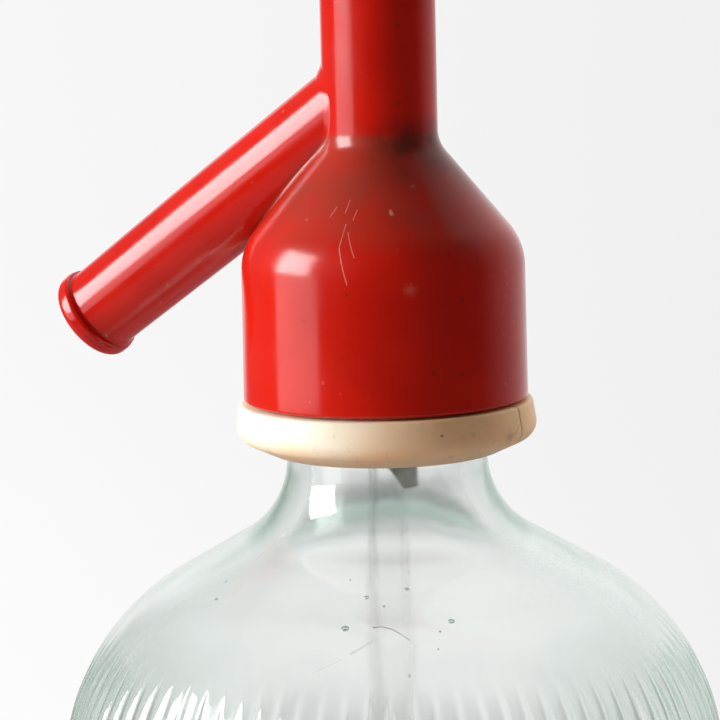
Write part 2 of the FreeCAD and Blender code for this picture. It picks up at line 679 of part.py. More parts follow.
def make_head_body():
    """Bell, column, spout and turret in one moulding, with the bores that hold the valve."""
    body = new_body("head_body", rim_height)
    outside = [
        (0, 0),
        (bell_r, 0, edge, FLAT),
        (bell_top_r, bell_side, bell_round),
        (column_r, column_base, column_round),
        (column_r, flare_height),
        (turret_r, flare_height + flare_rise),
        (turret_r, turret_top, edge, FLAT),
        (0, turret_top),
    ]
    turned(body, "bell_and_column", outside)
    mouth = spout_length
    tube = [
        (0, 0),
        (mouth, 0),
        (mouth, bead_r, bead_round),
        (mouth - bead_width, bead_r, bead_round),
        (mouth - bead_width, spout_tip_r),
        (0, spout_root_r),
    ]
    spout = turned(body, "spout", tube, tilt=(spout_height, spout_fall + 180))
    document.recompute()
    root = edges_of(spout.Shape, lambda edge: is_spout_root(edge))
    blend = rounded(body, "spout_root", spout, root, spout_blend)
    lug_end = pin_arm + lug_r
    lug_round = lug_r - lug_flat
    lug = [
        (bore_r, turret_floor - past),
        (lug_end, pin_height - lug_r, lug_round),
        (lug_end, pin_height + lug_r, lug_round),
        (bore_r, pin_height + lug_r),
    ]
    sketch = outline(new_sketch(body, "lug_outline", "XZ_Plane"), lug)
    pressed(body, "lugs", sketch, lug_width)
    flange_edge = bore_r + boss_wall
    core_r = flange_bore_r - flange_seat
    lean = (bell_top_r - column_r) / (column_base - bell_side)
    inset = cone_wall * square_root(lean * lean + 1)
    core_side = bell_side + (bell_top_r - inset - core_r) / lean
    core_top = bell_side + (bell_top_r - inset - flange_edge) / lean
    inside = [
        (0, -past),
        (bell_bore_r, -past),
        (bell_bore_r, plug_height),
        (flange_bore_r, plug_height),
        (flange_bore_r, flange_top),
        (core_r, flange_top),
        (core_r, core_side),
        (flange_edge, core_top),
        (flange_edge, flange_top),
        (bore_r, flange_top),
        (bore_r, turret_floor),
        (turret_bore_r, turret_floor),
        (turret_bore_r, turret_top + past),
        (0, turret_top + past),
    ]
    turned(body, "bores", inside, cut=True)
    waterway = [
        (0, 0),
        (mouth + past, 0),
        (mouth + past, spout_bore_r + mouth_flare * 2),
        (mouth - past, spout_bore_r),
        (0, spout_bore_r),
    ]
    turned(body, "spout_bore", waterway, cut=True, tilt=(spout_height, spout_fall + 180))
    slot = [
        (0, slot_low),
        (turret_r + slot_step, slot_low),
        (turret_r + slot_step, flare_height),
        (lug_end + past, flare_height),
        (lug_end + past, slot_high),
        (0, slot_high),
    ]
    sketch = outline(new_sketch(body, "slot_outline", "XZ_Plane"), slot)
    pressed(body, "lever_slot", sketch, slot_width, cut=True)
    sketch = circle(new_sketch(body, "pin_place", "XZ_Plane"), pin_arm, pin_height, pin_r + pin_fit)
    pressed(body, "pin_hole", sketch, lug_width + past * 2, cut=True)
    return body


def is_spout_root(edge):
    """The line where the spout's tube runs into the column and the bell."""
    box = edge.BoundBox
    tall = box.ZLength > number(spout_root_r)
    return tall and box.XMax < -number(bore_r) / 2 and box.YLength > 1 and box.XMin > -30


# --------------------------------------------------------------------------------------------
# Seat plug, seals and dip tube
# --------------------------------------------------------------------------------------------

def make_seat_plug():
    """Plug with a flange, a grooved spigot with the valve's seat on top, and a nipple."""
    body = new_body("seat_plug", rim_height)
    half_groove = ring_half + ring_room / 2
    plug_top = seat_height - seat_rise
    profile = [
        (water_r, nipple_low),
        (tube_r, nipple_low, edge, FLAT),
        (tube_r, plug_height),
        (flange_r, plug_height),
        (flange_r, flange_top),
        (plug_r, flange_top),
        (plug_r, ring_height - half_groove),
        (ring_groove_r, ring_height - half_groove),
        (ring_groove_r, ring_height + half_groove),
        (plug_r, ring_height + half_groove),
        (plug_r, plug_top, edge, FLAT),
        (seat_bore_r + seat_wall + seat_rise / 2, plug_top),
        (seat_bore_r + seat_wall, seat_height),
        (seat_bore_r, seat_height),
        (seat_bore_r, plug_top - seat_rise),
        (water_r, plug_top - seat_rise - past),
    ]
    turned(body, "plug", profile)
    return body


def make_plug_ring():
    """Square-cut rubber ring in the plug's groove."""
    body = new_body("plug_ring", rim_height)
    profile = [
        (ring_groove_r + part_fit, ring_height - ring_half),
        (bore_r - part_fit, ring_height - ring_half, ring_edge, FLAT),
        (bore_r - part_fit, ring_height + ring_half, ring_edge, FLAT),
        (ring_groove_r + part_fit, ring_height + ring_half),
    ]
    turned(body, "ring", profile)
    return body


def make_tube_sleeve():
    """Rubber sleeve over the nipple and the tube, its lower end cut on the slant."""
    body = new_body("tube_sleeve", rim_height)
    inner = tube_r - rubber_grip
    wall_outline = [
        (inner, -rubber_foot),
        (rubber_r, -rubber_foot),
        (rubber_r, rubber_top),
        (inner, rubber_top),
    ]
    turned(body, "sleeve", wall_outline)
    land_x = rubber_r - rubber_land
    slant_height = (rubber_r + past + land_x) * tangent(rubber_slant)
    wedge = [
        (land_x, -rubber_foot - past),
        (land_x, -rubber_foot),
        (-rubber_r - past, slant_height - rubber_foot),
        (-rubber_r - past, -rubber_foot - past),
    ]
    sketch = outline(new_sketch(body, "slant_outline", "XZ_Plane"), wedge)
    pressed(body, "slant", sketch, (rubber_r + past) * 2, cut=True)
    body.Placement = FreeCAD.Placement(
        FreeCAD.Vector(0, 0, number(rim_height)),
        FreeCAD.Rotation(FreeCAD.Vector(0, 0, 1), number(rubber_turn)),
    )
    body.setExpression("Placement.Base.z", rim_height.text)
    body.setExpression("Placement.Rotation.Angle", rubber_turn.text)
    return body


def make_dip_tube():
    """Clear tube from the nipple's height down to the floor, its foot cut on the slant."""
    body = new_body("dip_tube")
    foot = punt_height + floor_t + tube_foot
    wall_outline = [
        (tube_bore_r, foot),
        (tube_r, foot),
        (tube_r, rim_height + tube_top),
        (tube_bore_r, rim_height + tube_top),
    ]
    turned(body, "tube", wall_outline)
    wedge = [
        (-tube_r - past, foot - past),
        (tube_r, foot - past),
        (-tube_r - past, foot + tube_slant),
    ]
    sketch = outline(new_sketch(body, "slant_outline", "XZ_Plane"), wedge)
    pressed(body, "slant", sketch, (tube_r + past) * 2, cut=True)
    return body


# --------------------------------------------------------------------------------------------
# The valve's moving train, from the seat upwards
# --------------------------------------------------------------------------------------------

def make_valve_washer():
    """Rubber disc that closes the seat."""
    body = new_body("valve_washer", rim_height)
    hole = screw_r + part_fit
    profile = [
        (hole, washer_low),
        (washer_r, washer_low),
        (washer_r, washer_top),
        (hole, washer_top),
    ]
    turned(body, "disc", profile)
    return body


def make_washer_cup():
    """Metal cup, open below, that holds the disc."""
    body = new_body("washer_cup", rim_height)
    hole = screw_r + part_fit
    profile = [
        (hole, washer_top),
        (washer_r, washer_top),
        (washer_r, washer_low + washer_show),
        (washer_cup_r, washer_low + washer_show),
        (washer_cup_r, foot_low, edge, FLAT),
        (hole, foot_low),
    ]
    turned(body, "cup", profile)
    return body


def make_washer_screw():
    """Cheese-headed screw through disc and cup into the stem, its head inside the waterway."""
    body = new_body("washer_screw", rim_height)
    head_low = washer_low - screw_head_t
    profile = [
        (0, head_low),
        (screw_head_r, head_low),
        (screw_head_r, washer_low),
        (screw_r, washer_low),
        (screw_r, washer_low + screw_length),
        (0, washer_low + screw_length),
    ]
    turned(body, "screw", profile)
    slot_floor = head_low + screw_head_t / 2
    slot = [
        (-screw_head_r - past, head_low - past),
        (screw_head_r + past, head_low - past),
        (screw_head_r + past, slot_floor),
        (-screw_head_r - past, slot_floor),
    ]
    sketch = outline(new_sketch(body, "slot_outline", "XZ_Plane"), slot)
    pressed(body, "slot", sketch, screw_slot, cut=True)
    return body


def make_valve_stem():
    """Stem with a foot on the washer's cup and a collar under the cup seal."""
    body = new_body("valve_stem", rim_height)
    screw_end = washer_low + screw_length + screw_room
    hole = screw_r + part_fit
    profile = [
        (hole, foot_low),
        (stem_foot_r, foot_low),
        (stem_foot_r, foot_low + stem_foot_t),
        (stem_r, foot_low + stem_foot_t + stem_r),
        (stem_r, collar_low - stem_r),
        (stem_collar_r, collar_low),
        (stem_collar_r, seal_low),
        (stem_r, seal_low),
        (stem_r, stem_top, edge, FLAT),
        (0, stem_top),
        (0, screw_end),
        (hole, screw_end),
    ]
    turned(body, "stem", profile)
    return body


def make_cup_seal():
    """Leather cup, its lip upwards against the column's bore."""
    body = new_body("cup_seal", rim_height)
    lip_outside = bore_r - seal_gap
    profile = [
        (stem_hole_r, seal_low),
        (lip_outside, seal_low, seal_wall * 0.7, FLAT),
        (lip_outside, seal_low + seal_t),
        (lip_outside - seal_wall / 2, seal_low + seal_t),
        (lip_outside - seal_wall, plate_low),
        (stem_hole_r, plate_low),
    ]
    turned(body, "cup", profile)
    return body


def make_cup_plate():
    """Washer inside the cup seal; the spring stands on it."""
    body = new_body("cup_plate", rim_height)
    profile = [
        (stem_hole_r, plate_low),
        (plate_r, plate_low),
        (plate_r, plate_low + plate_t),
        (stem_hole_r, plate_low + plate_t),
    ]
    turned(body, "washer", profile)
    return body


def make_nut(label, across_flats, low, thickness):
    """Hexagonal nut on the stem."""
    body = new_body(label, rim_height)
    sketch = hexagon(new_sketch(body, "flats", "XY_Plane", None), across_flats)
    sketch.AttachmentOffset = FreeCAD.Placement(
        FreeCAD.Vector(0, 0, number(low)), FreeCAD.Rotation()
    )
    sketch.setExpression("AttachmentOffset.Base.z", words(low))
    circle(sketch, 0, 0, stem_hole_r)
    pressed(body, "nut", sketch, thickness, middle=False)
    return body


def make_valve_spring():
    """Coil spring between the cup's washer and the guide bush."""
    body = new_body("valve_spring", rim_height)
    wire_bevel = wire_r - wire_r * tangent(22.5)
    wire = []
    for across, up in ((1, -1), (1, 1), (-1, 1), (-1, -1)):
        wire.append((spring_r + wire_r * across, spring_low + wire_r + wire_r * up))
    octagon = [(*corner, wire_bevel, FLAT) for corner in wire]
    sketch = outline(new_sketch(body, "wire", "XZ_Plane"), octagon)
    feature = body.newObject("PartDesign::AdditiveHelix", "coil")
    feature.Profile = sketch
    feature.ReferenceAxis = (sketch, ["V_Axis"])
    feature.Mode = "height-turns-angle"
    height = bush_low - spring_low - wire_r * 2
    feature.Height = number(height)
    feature.setExpression("Height", height.text)
    feature.Turns = number(spring_turns)
    feature.setExpression("Turns", spring_turns.text)
    return body


def make_guide_bush():
    """Bush that screws into the bore, holds the spring down and guides the stem."""
    body = new_body("guide_bush", rim_height)
    hole = stem_r + sliding_fit
    bush_top = turret_floor + bush_flange_t
    profile = [
        (hole, bush_low),
        (bore_r - bush_gap, bush_low, edge, FLAT),
        (bore_r - bush_gap, turret_floor),
        (turret_bore_r - bush_gap * 2, turret_floor),
        (turret_bore_r - bush_gap * 2, bush_top, edge, FLAT),
        (hole, bush_top),
    ]
    turned(body, "bush", profile)
    slot_floor = bush_top - bush_flange_t / 2
    slot = [
        (-turret_bore_r, slot_floor),
        (turret_bore_r, slot_floor),
        (turret_bore_r, bush_top + past),
        (-turret_bore_r, bush_top + past),
    ]
    sketch = outline(new_sketch(body, "slot_outline", "XZ_Plane"), slot)
    pressed(body, "driver_slot", sketch, driver_slot, cut=True)
    return body


def make_stem_head():
    """Round nut that the lever's fork lifts."""
    body = new_body("stem_head", rim_height)
    profile = [
        (stem_hole_r, stem_head_low),
        (stem_head_r, stem_head_low, edge, FLAT),
        (stem_head_r, locknut_low, edge, FLAT),
        (stem_hole_r, locknut_low),
    ]
    turned(body, "head", profile)
    return body


# --------------------------------------------------------------------------------------------
# Lever, pin and cap
# --------------------------------------------------------------------------------------------

def make_lever():
    """Fork round the stem, hub on the pin, deep arm, and a wide thumb plate with a round end."""
    body = new_body("lever", rim_height)
    tip = pin_arm + lever_reach
    tip_top = pin_height - tip_drop
    bow = pin_arm + bow_arm
    bow_top = pin_height + lever_rise
    nose_low = nose_height - nose_r
    nose_top = nose_height + nose_r
    nose_round = nose_r - nose_flat
    heel = pin_arm - hub_heel
    side = [
        (-nose_r, nose_low, nose_round),
        (-nose_r, nose_top, nose_round),
        (heel, nose_top, hub_round),
        (pin_arm - hub_lead, pin_height + hub_r, hub_round),
        (bow, bow_top, bow_r),
        (tip, tip_top, tip_round),
        (tip - tip_lean, tip_top - plate_thick, tip_round),
        (bow, bow_top - plate_thick, under_bow_r),
        (pin_arm + web_arm, pin_height - web_drop, web_round),
        (pin_arm, pin_height - hub_r, hub_round),
        (heel, nose_low, hub_round),
    ]
    sketch = outline(new_sketch(body, "side_outline", "XZ_Plane"), side)
    pressed(body, "side", sketch, plate_width)
    full_height = (bow_top + past) * 2
    start = -nose_r - past
    far = tip + past
    for side_sign, name in ((1, "left"), (-1, "right")):
        half_hub = hub_width / 2 * side_sign
        half_plate = plate_width / 2 * side_sign
        plan = [
            (start, half_hub),
            (pin_arm + waist_arm, half_hub, waist_round),
            (pin_arm + waist_end, half_plate, waist_round),
            (tip, half_plate, plate_width / 2 - tip_square),
            (tip, 0),
            (far, 0),
            (far, plate_width * side_sign),
            (start, plate_width * side_sign),
        ]
        sketch = outline(new_sketch(body, f"plan_{name}", "XY_Plane"), plan)
        pressed(body, f"waist_{name}", sketch, full_height, cut=True)
    fork_half = stem_r + fork_gap
    fork_end = stem_r + fork_depth
    fork_round = fork_half - nose_flat
    fork = [
        (start, -fork_half),
        (fork_end, -fork_half, fork_round),
        (fork_end, fork_half, fork_round),
        (start, fork_half),
    ]
    sketch = outline(new_sketch(body, "fork_outline", "XY_Plane"), fork)
    pressed(body, "fork", sketch, full_height, cut=True)
    sketch = new_sketch(body, "pin_place", "XZ_Plane")
    circle(sketch, pin_arm, pin_height, pin_r + turning_fit)
    pressed(body, "pin_hole", sketch, plate_width + past * 2, cut=True)
    return body


def make_lever_pin():
    """Plain pin across the lugs."""
    body = new_body("lever_pin", rim_height)
    sketch = circle(new_sketch(body, "pin_round", "XZ_Plane"), pin_arm, pin_height, pin_r)
    pressed(body, "shank", sketch, lug_width + pin_end * 2)
    return body


def make_top_cap():
    """Cap with a domed top and a spigot in the turret."""
    body = new_body("top_cap", rim_height)
    spigot_r = turret_bore_r - cap_gap
    spigot_low = turret_top - cap_spigot
    ceiling = turret_top + cap_room
    cap_top = turret_top + cap_height
    profile = [
        (spigot_r - cap_spigot_wall, spigot_low),
        (spigot_r, spigot_low, edge, FLAT),
        (spigot_r, turret_top),
        (turret_r, turret_top, edge, FLAT),
        (turret_r, cap_top, cap_round),
        (0, cap_top),
        (0, ceiling),
        (spigot_r - cap_spigot_wall, ceiling),
    ]
    turned(body, "cap", profile)
    return body


# --------------------------------------------------------------------------------------------
# Build, check and write
# --------------------------------------------------------------------------------------------

document.recompute()
bodies = [
    make_bottle(),
    make_dip_tube(),
    make_tube_sleeve(),
    make_collar_half("collar_half_front", 180),
    make_collar_half("collar_half_rear", 0),
    make_lip_gasket(),
    make_head_body(),
    make_seat_plug(),
    make_plug_ring(),
    make_valve_washer(),
    make_washer_cup(),
    make_washer_screw(),
    make_valve_stem(),
    make_cup_seal(),
    make_cup_plate(),
    make_nut("cup_nut", seal_nut_across, seal_nut_low, seal_nut_t),
    make_valve_spring(),
    make_guide_bush(),
    make_stem_head(),
    make_nut("stem_locknut", locknut_across, locknut_low, locknut_t),
    make_lever(),
    make_lever_pin(),
    make_top_cap(),
]
document.recompute()

faults = []
for item in document.Objects:
    if "Invalid" in item.State or "Error" in item.State:
        faults.append(f"{item.Label} is {item.State}")
    if item.TypeId in ("PartDesign::Pocket", "PartDesign::Groove"):
        if item.Shape.Volume >= item.BaseFeature.Shape.Volume - 1e-6:
            faults.append(f"{item.Label} cuts nothing")
for body in bodies:
    if body.Shape.isNull() or not body.Shape.isValid() or len(body.Shape.Solids) != 1:
        faults.append(f"{body.Label} isn't one valid solid")
if faults:
    raise RuntimeError("; ".join(faults))

os.makedirs(PARTS_FOLDER, exist_ok=True)
for body in bodies:
    body.Shape.exportStep(f"{PARTS_FOLDER}/{body.Label}.step")
    box = body.Shape.BoundBox
    print(f"{body.Label}: {body.Shape.Volume:.1f} mm3, z {box.ZMin:.2f} to {box.ZMax:.2f}")
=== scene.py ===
# %% [markdown]
# # A table soda siphon
#
# The siphon is a thick glass bottle with pressed flutes, a split ivory collar under its lip, and a red
# moulded head: a bell, a column, a sloping spout and a lever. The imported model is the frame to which
# every piece here is fitted. Lengths are in metres, because the frame is, and millimetres are written
# as a number times MM.

# %% Load the frame
import math
import random

import bpy
from mathutils import Matrix, Quaternion, Vector


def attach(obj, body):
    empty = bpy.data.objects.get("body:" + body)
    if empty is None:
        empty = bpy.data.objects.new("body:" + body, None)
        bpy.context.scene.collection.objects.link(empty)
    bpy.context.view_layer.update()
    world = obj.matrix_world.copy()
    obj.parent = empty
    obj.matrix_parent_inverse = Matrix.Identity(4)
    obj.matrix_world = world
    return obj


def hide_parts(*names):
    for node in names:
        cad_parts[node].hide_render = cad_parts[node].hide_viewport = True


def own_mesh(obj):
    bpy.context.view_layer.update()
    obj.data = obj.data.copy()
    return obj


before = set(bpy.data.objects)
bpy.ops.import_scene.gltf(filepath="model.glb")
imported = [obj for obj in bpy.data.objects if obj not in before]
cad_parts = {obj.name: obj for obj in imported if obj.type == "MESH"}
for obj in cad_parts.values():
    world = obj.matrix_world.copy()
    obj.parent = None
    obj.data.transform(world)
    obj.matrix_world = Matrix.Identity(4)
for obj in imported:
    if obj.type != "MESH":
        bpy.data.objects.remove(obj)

MM = 0.001
scene = bpy.context.scene
scene.view_settings.view_transform = "Standard"


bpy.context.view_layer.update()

# %% [markdown]
# ## The camera
#
# The viewer stands close, a little to the spout's side of the front, and looks slightly down at the
# head from 42 cm. A camera is a place, a direction and a roll: the direction is turned into a rotation
# with `to_track_quat`, and the roll is one more turn about the line of sight.

# %% Camera
VIEW_TURN = math.radians(25.0)
RIM = 218.0 * MM
VIEW_DISTANCE = 423.0 * MM
VIEW_HEIGHT = RIM + 66.0 * MM
VIEW_FALL = math.radians(8.1)
VIEW_ASIDE = math.radians(-0.53)
VIEW_ROLL = math.radians(-1.33)
LENS = 137.5
SENSOR_WIDTH = 36.0
CLIP = (0.02, 100.0)


def seen_from_front(across, depth, up):
    """Turns a direction given for the viewer (across to the right, depth away) into the frame's."""
    turn = Matrix.Rotation(VIEW_TURN, 3, "Z")
    return turn @ Vector((across, depth, up))


place = seen_from_front(0, -VIEW_DISTANCE, VIEW_HEIGHT)
look = seen_from_front(
    math.sin(VIEW_ASIDE) * math.cos(VIEW_FALL),
    math.cos(VIEW_ASIDE) * math.cos(VIEW_FALL),
    -math.sin(VIEW_FALL),
)
turned = look.to_track_quat("-Z", "Y") @ Quaternion((0, 0, 1), VIEW_ROLL)
bpy.ops.object.camera_add(location=place, rotation=turned.to_euler())
camera = bpy.context.object
camera.name = "camera"
camera.data.lens = LENS
camera.data.sensor_width = SENSOR_WIDTH
camera.data.clip_start, camera.data.clip_end = CLIP
scene.camera = camera
print("camera at", [round(v, 3) for v in camera.location])

# %% [markdown]
# ## Helpers for nodes
#
# A material is a small tree of nodes. A few helpers keep the cells short. `put` adds one node and
# `fill` fills its sockets, where a value may be a number, a colour or another node's output. `wire`
# adds a node beside the outputs that it takes in. An `Output` can be added and multiplied like a
# number, and each such sum is a Math node.

# %% Node helpers
WHITE = (1.0, 1.0, 1.0)


class Output:
    """A node's output that can be calculated with."""

    def __init__(self, socket):
        self.socket = socket

    def __add__(self, other):
        return calculate("ADD", self, other)

    def __sub__(self, other):
        return calculate("SUBTRACT", self, other)

    def __rsub__(self, other):
        return calculate("SUBTRACT", other, self)

    def __mul__(self, other):
        return calculate("MULTIPLY", self, other)


def fill(node, sockets):
    """Fills a node's sockets, by name or number. A colour is three numbers."""
    for title, value in sockets.items():
        socket = node.inputs[title]
        if isinstance(value, Output):
            node.id_data.links.new(value.socket, socket)
        else:
            socket.default_value = (*value, 1.0) if socket.type == "RGBA" else value


def put(tree, kind, sockets=None, **options):
    """Adds a node, sets its options and fills its sockets."""
    node = tree.nodes.new(kind)
    for option, value in options.items():
        setattr(node, option, value)
    fill(node, sockets or {})
    return node


def wire(kind, sockets, output=0, **options):
    """Adds a node to the tree of the outputs that it takes in, and gives one of its own outputs."""
    tree = next(v.socket.id_data for v in sockets.values() if isinstance(v, Output))
    return Output(put(tree, kind, sockets, **options).outputs[output])


print("node helpers are ready")

# %% Sums with nodes
NO_HEIGHT = (1.0, 1.0, 0.0)


def calculate(operation, *values, clamp=False):
    return wire("ShaderNodeMath", dict(enumerate(values)), operation=operation, use_clamp=clamp)


def strongest(*values):
    """The largest of several values."""
    result = values[0]
    for value in values[1:]:
        result = calculate("MAXIMUM", result, value)
    return result


def vector_math(operation, *values):
    """A vector, or a number where the operation gives one."""
    output = "Value" if operation in ("DOT_PRODUCT", "LENGTH", "DISTANCE") else 0
    return wire("ShaderNodeVectorMath", dict(enumerate(values)), output, operation=operation)


def dot_with(vector, direction):
    return vector_math("DOT_PRODUCT", vector, tuple(direction))


def stretch(value, low, high, to_low=0.0, to_high=1.0, kind="SMOOTHSTEP"):
    """Maps a range of values to another one, clamped, with soft ends."""
    sockets = {0: value, 1: low, 2: high, 3: to_low, 4: to_high}
    return wire("ShaderNodeMapRange", sockets, interpolation_type=kind)


def choose(share, first, second):
    """Mixes two numbers."""
    return wire("ShaderNodeMix", {0: share, 2: first, 3: second}, data_type="FLOAT")


def place_of(tree):
    """The place on the object, in its own metres."""
    return Output(put(tree, "ShaderNodeTexCoord").outputs["Object"])


print("sums are ready")

# %% [markdown]
# ## The studio
#
# A real product table has a pale sheet behind the object and a dimmer room behind the viewer. Glass
# and gloss need that difference: their edges show where the pale sheet ends. One node group says how
# bright each level direction is. It has one answer for what gloss and glass show, and another for
# the soft light that falls on the object. The world uses it for the sky half and the floor for its
# own half, so that both halves join without a line.

# %% Node groups
def make_group(name, build, vectors, numbers=(), outputs=(("Mask", "Float"),)):
    """A node group with named inputs. build makes its nodes and lists what it puts out."""
    group = bpy.data.node_groups.new(name, "ShaderNodeTree")
    inputs = [(title, "Vector") for title in vectors] + [(title, "Float") for title in numbers]
    for direction, sockets in (("INPUT", inputs), ("OUTPUT", outputs)):
        for title, kind in sockets:
            group.interface.new_socket(title, in_out=direction, socket_type="NodeSocket" + kind)
    enter = put(group, "NodeGroupInput")
    made = build(*[Output(enter.outputs[title]) for title, _ in inputs])
    put(group, "NodeGroupOutput", dict(enumerate(made)))
    return group


def use_group(group, output=0, **values):
    return wire("ShaderNodeGroup", values, output, node_tree=group)


print("node groups can be made")

# %% Brightness of the studio by direction
PALE = 0.905
DIM_ROOM = 0.05
SHEET_ENDS_LEFT = (math.radians(20), math.radians(34))
SHEET_ENDS_RIGHT = (math.radians(18), math.radians(98))
IN_FRONT = (math.radians(95), math.radians(125))
DIM_BY_WINDOW = 0.13
WALL_LIGHT = 0.30
WALL_SPREAD = (-0.05, -0.6)
BACKDROP_LIGHT = 2.2
BACKDROP_SPREAD = (0.16, 0.84)
THROUGH_GLASS = 0.75
GLASS_GAIN = 0.18


def studio_brightness(direction):
    """How bright the studio is in a direction, for gloss and glass, and as soft light."""
    level = vector_math("NORMALIZE", vector_math("MULTIPLY", direction, NO_HEIGHT))
    ahead = dot_with(level, seen_from_front(0, 1, 0))
    right = dot_with(level, seen_from_front(1, 0, 0))
    angle = calculate("ARCTAN2", right, ahead)
    to_left = stretch(angle * -1.0, *SHEET_ENDS_LEFT, PALE, DIM_BY_WINDOW)
    to_right = stretch(angle, *SHEET_ENDS_RIGHT, PALE, DIM_ROOM, "LINEAR")
    fade = stretch(angle * -1.0, *IN_FRONT) * (DIM_BY_WINDOW - DIM_ROOM)
    wall = stretch(right, *WALL_SPREAD, DIM_ROOM, WALL_LIGHT)
    light = choose(stretch(ahead, *BACKDROP_SPREAD), wall, BACKDROP_LIGHT)
    return [calculate("MINIMUM", to_left, to_right) - fade, light]


studio_outputs = [("Seen", "Float"), ("Light", "Float")]
studio_group = make_group("studio brightness", studio_brightness, ["Direction"], [], studio_outputs)
print("studio group:", len(studio_group.nodes), "nodes")

# %% World
SIDE_FALLOFF = 0.25


def pale_by_side(direction, level):
    """The sheet as the camera sees it: a little brighter on the window's side."""
    unit = vector_math("NORMALIZE", direction)
    return dot_with(unit, seen_from_front(-SIDE_FALLOFF * level, 0, 0)) + level


def ray_kinds(tree):
    """1 or 0 for rays from the camera, from gloss and through glass."""
    path = put(tree, "ShaderNodeLightPath")
    return [Output(path.outputs[f"Is {kind} Ray"]) for kind in ("Camera", "Glossy", "Transmission")]


def through_glass(glassy):
    """What glass swallows is given back: the sheet and the room are a little brighter behind it."""
    return glassy * GLASS_GAIN + 1.0


def seen_by_glass(glassy, brightness):
    """Glass blurs the dim room, so through glass no direction is darker than a mid grey."""
    return strongest(brightness, glassy * THROUGH_GLASS) * through_glass(glassy)


def make_world():
    """Pale for the camera, and the studio's own brightness for light, gloss and glass."""
    world = bpy.data.worlds.new("studio")
    scene.world = world
    world.use_nodes = True
    tree = world.node_tree
    tree.nodes.clear()
    direction = Output(put(tree, "ShaderNodeTexCoord").outputs["Generated"])
    camera_ray, glossy, glassy = ray_kinds(tree)
    seen, light = (use_group(studio_group, title, Direction=direction) for title, _ in studio_outputs)
    room = choose(strongest(glossy, glassy), light, seen_by_glass(glassy, seen))
    strength = choose(camera_ray, room, pale_by_side(direction, PALE))
    glow = wire("ShaderNodeBackground", {"Color": WHITE, "Strength": strength})
    put(tree, "ShaderNodeOutputWorld", {0: glow})
    return world


world = make_world()
print("world:", world.name)

# %% [markdown]
# ## The floor
#
# A plain pale sheet, so wide that its far edge lies above the view. It takes the object's shadow
# with a thin diffuse share. The rest of its whiteness is its own for the camera, for gloss and for
# glass, so that no extra light has to fall on the object to make the sheet look white. Near the
# object the sheet is pale all round. Further out, gloss and glass see the studio instead.

# %% Selecting and adding
def only(piece=None):
    """Leaves edit mode and selects one object alone, or none."""
    if bpy.context.object and bpy.context.object.mode != "OBJECT":
        bpy.ops.object.mode_set(mode="OBJECT")
    bpy.ops.object.select_all(action="DESELECT")
    if piece:
        bpy.context.view_layer.objects.active = piece
        piece.select_set(True)


def start_primitive(kind, name, **options):
    """Adds one primitive with nothing else selected."""
    only()
    getattr(bpy.ops.mesh, "primitive_" + kind + "_add")(**options)
    bpy.context.object.name = name
    return bpy.context.object


print("objects can be added")

# %% Floor
FLOOR_SIZE = 60.0
FLOOR_WHITE = 0.85
FLOOR_IN_GLOSS = 0.18
FLOOR_SHADE = 0.06
FLOOR_BOUNCE = 0.80
BOUNCE_REACH = (0.25, 0.70)
SHEET_FRONT = (0.35, 0.9)


def make_floor_material():
    material = bpy.data.materials.new("pale sheet")
    material.use_nodes = True
    tree = material.node_tree
    tree.nodes.clear()
    camera_ray, glossy, glassy = ray_kinds(tree)
    bent = strongest(glossy, glassy)
    place = place_of(tree)
    away = vector_math("LENGTH", place)
    beyond = stretch(away, *SHEET_FRONT)
    seen = use_group(studio_group, "Seen", Direction=place)
    room = seen_by_glass(glassy, seen) * (FLOOR_WHITE / PALE)
    near = choose(glossy, through_glass(glassy) * FLOOR_WHITE, FLOOR_IN_GLOSS)
    own = bent * choose(beyond, near, room) + camera_ray * pale_by_side(place, FLOOR_WHITE)
    glow = wire("ShaderNodeEmission", {"Color": WHITE, "Strength": own})
    bent_shade = stretch(beyond, 0.0, 1.0, FLOOR_SHADE, 0.0)
    bounce = stretch(away, *BOUNCE_REACH, FLOOR_BOUNCE, DIM_ROOM)
    shade = choose(camera_ray, choose(bent, bounce, bent_shade), FLOOR_SHADE)
    matt = wire("ShaderNodeBsdfDiffuse", {"Color": shade})
    put(tree, "ShaderNodeOutputMaterial", {0: wire("ShaderNodeAddShader", {0: glow, 1: matt})})
    return material


floor = start_primitive("plane", "floor", size=FLOOR_SIZE)
floor.data.materials.append(make_floor_material())
print("floor:", FLOOR_SIZE, "m wide")

# %% [markdown]
# ## The window light
#
# One tall window stands a metre to the left. Its lower part is dimmer than its sky. An area lamp is a
# glowing rectangle, so two of them, one above the other, make the window, and the gloss of the head
# shows their shape. Two wide lamps are hidden from gloss and glass: one adds soft light from the same
# side, and the other stands behind on the far side, as a pale wall shines back on a rounded edge.

# %% Window lamps
WINDOW_DISTANCE = 1.0
WARM, WARMER, COOL = (1.0, 0.99, 0.98), (1.0, 0.99, 0.97), (0.98, 0.99, 1.0)


def hang_lamp(name, side, width, low, high, radiance, colour):
    """An upright rectangle of light between two heights, facing the object's axis."""
    height = high - low
    away = Matrix.Rotation(-math.radians(side), 3, "Z") @ Vector((0, -1, 0))
    spot = seen_from_front(*away) * WINDOW_DISTANCE
    only()
    bpy.ops.object.light_add(type="AREA", location=(spot.x, spot.y, (low + high) / 2))
    lamp = bpy.context.object
    lamp.name = name
    lamp.rotation_euler = Vector((-spot.x, -spot.y, 0)).to_track_quat("-Z", "Y").to_euler()
    lamp.data.shape = "RECTANGLE"
    lamp.data.size = width
    lamp.data.size_y = height
    lamp.data.energy = radiance * math.pi * width * height
    lamp.data.color = colour
    return lamp


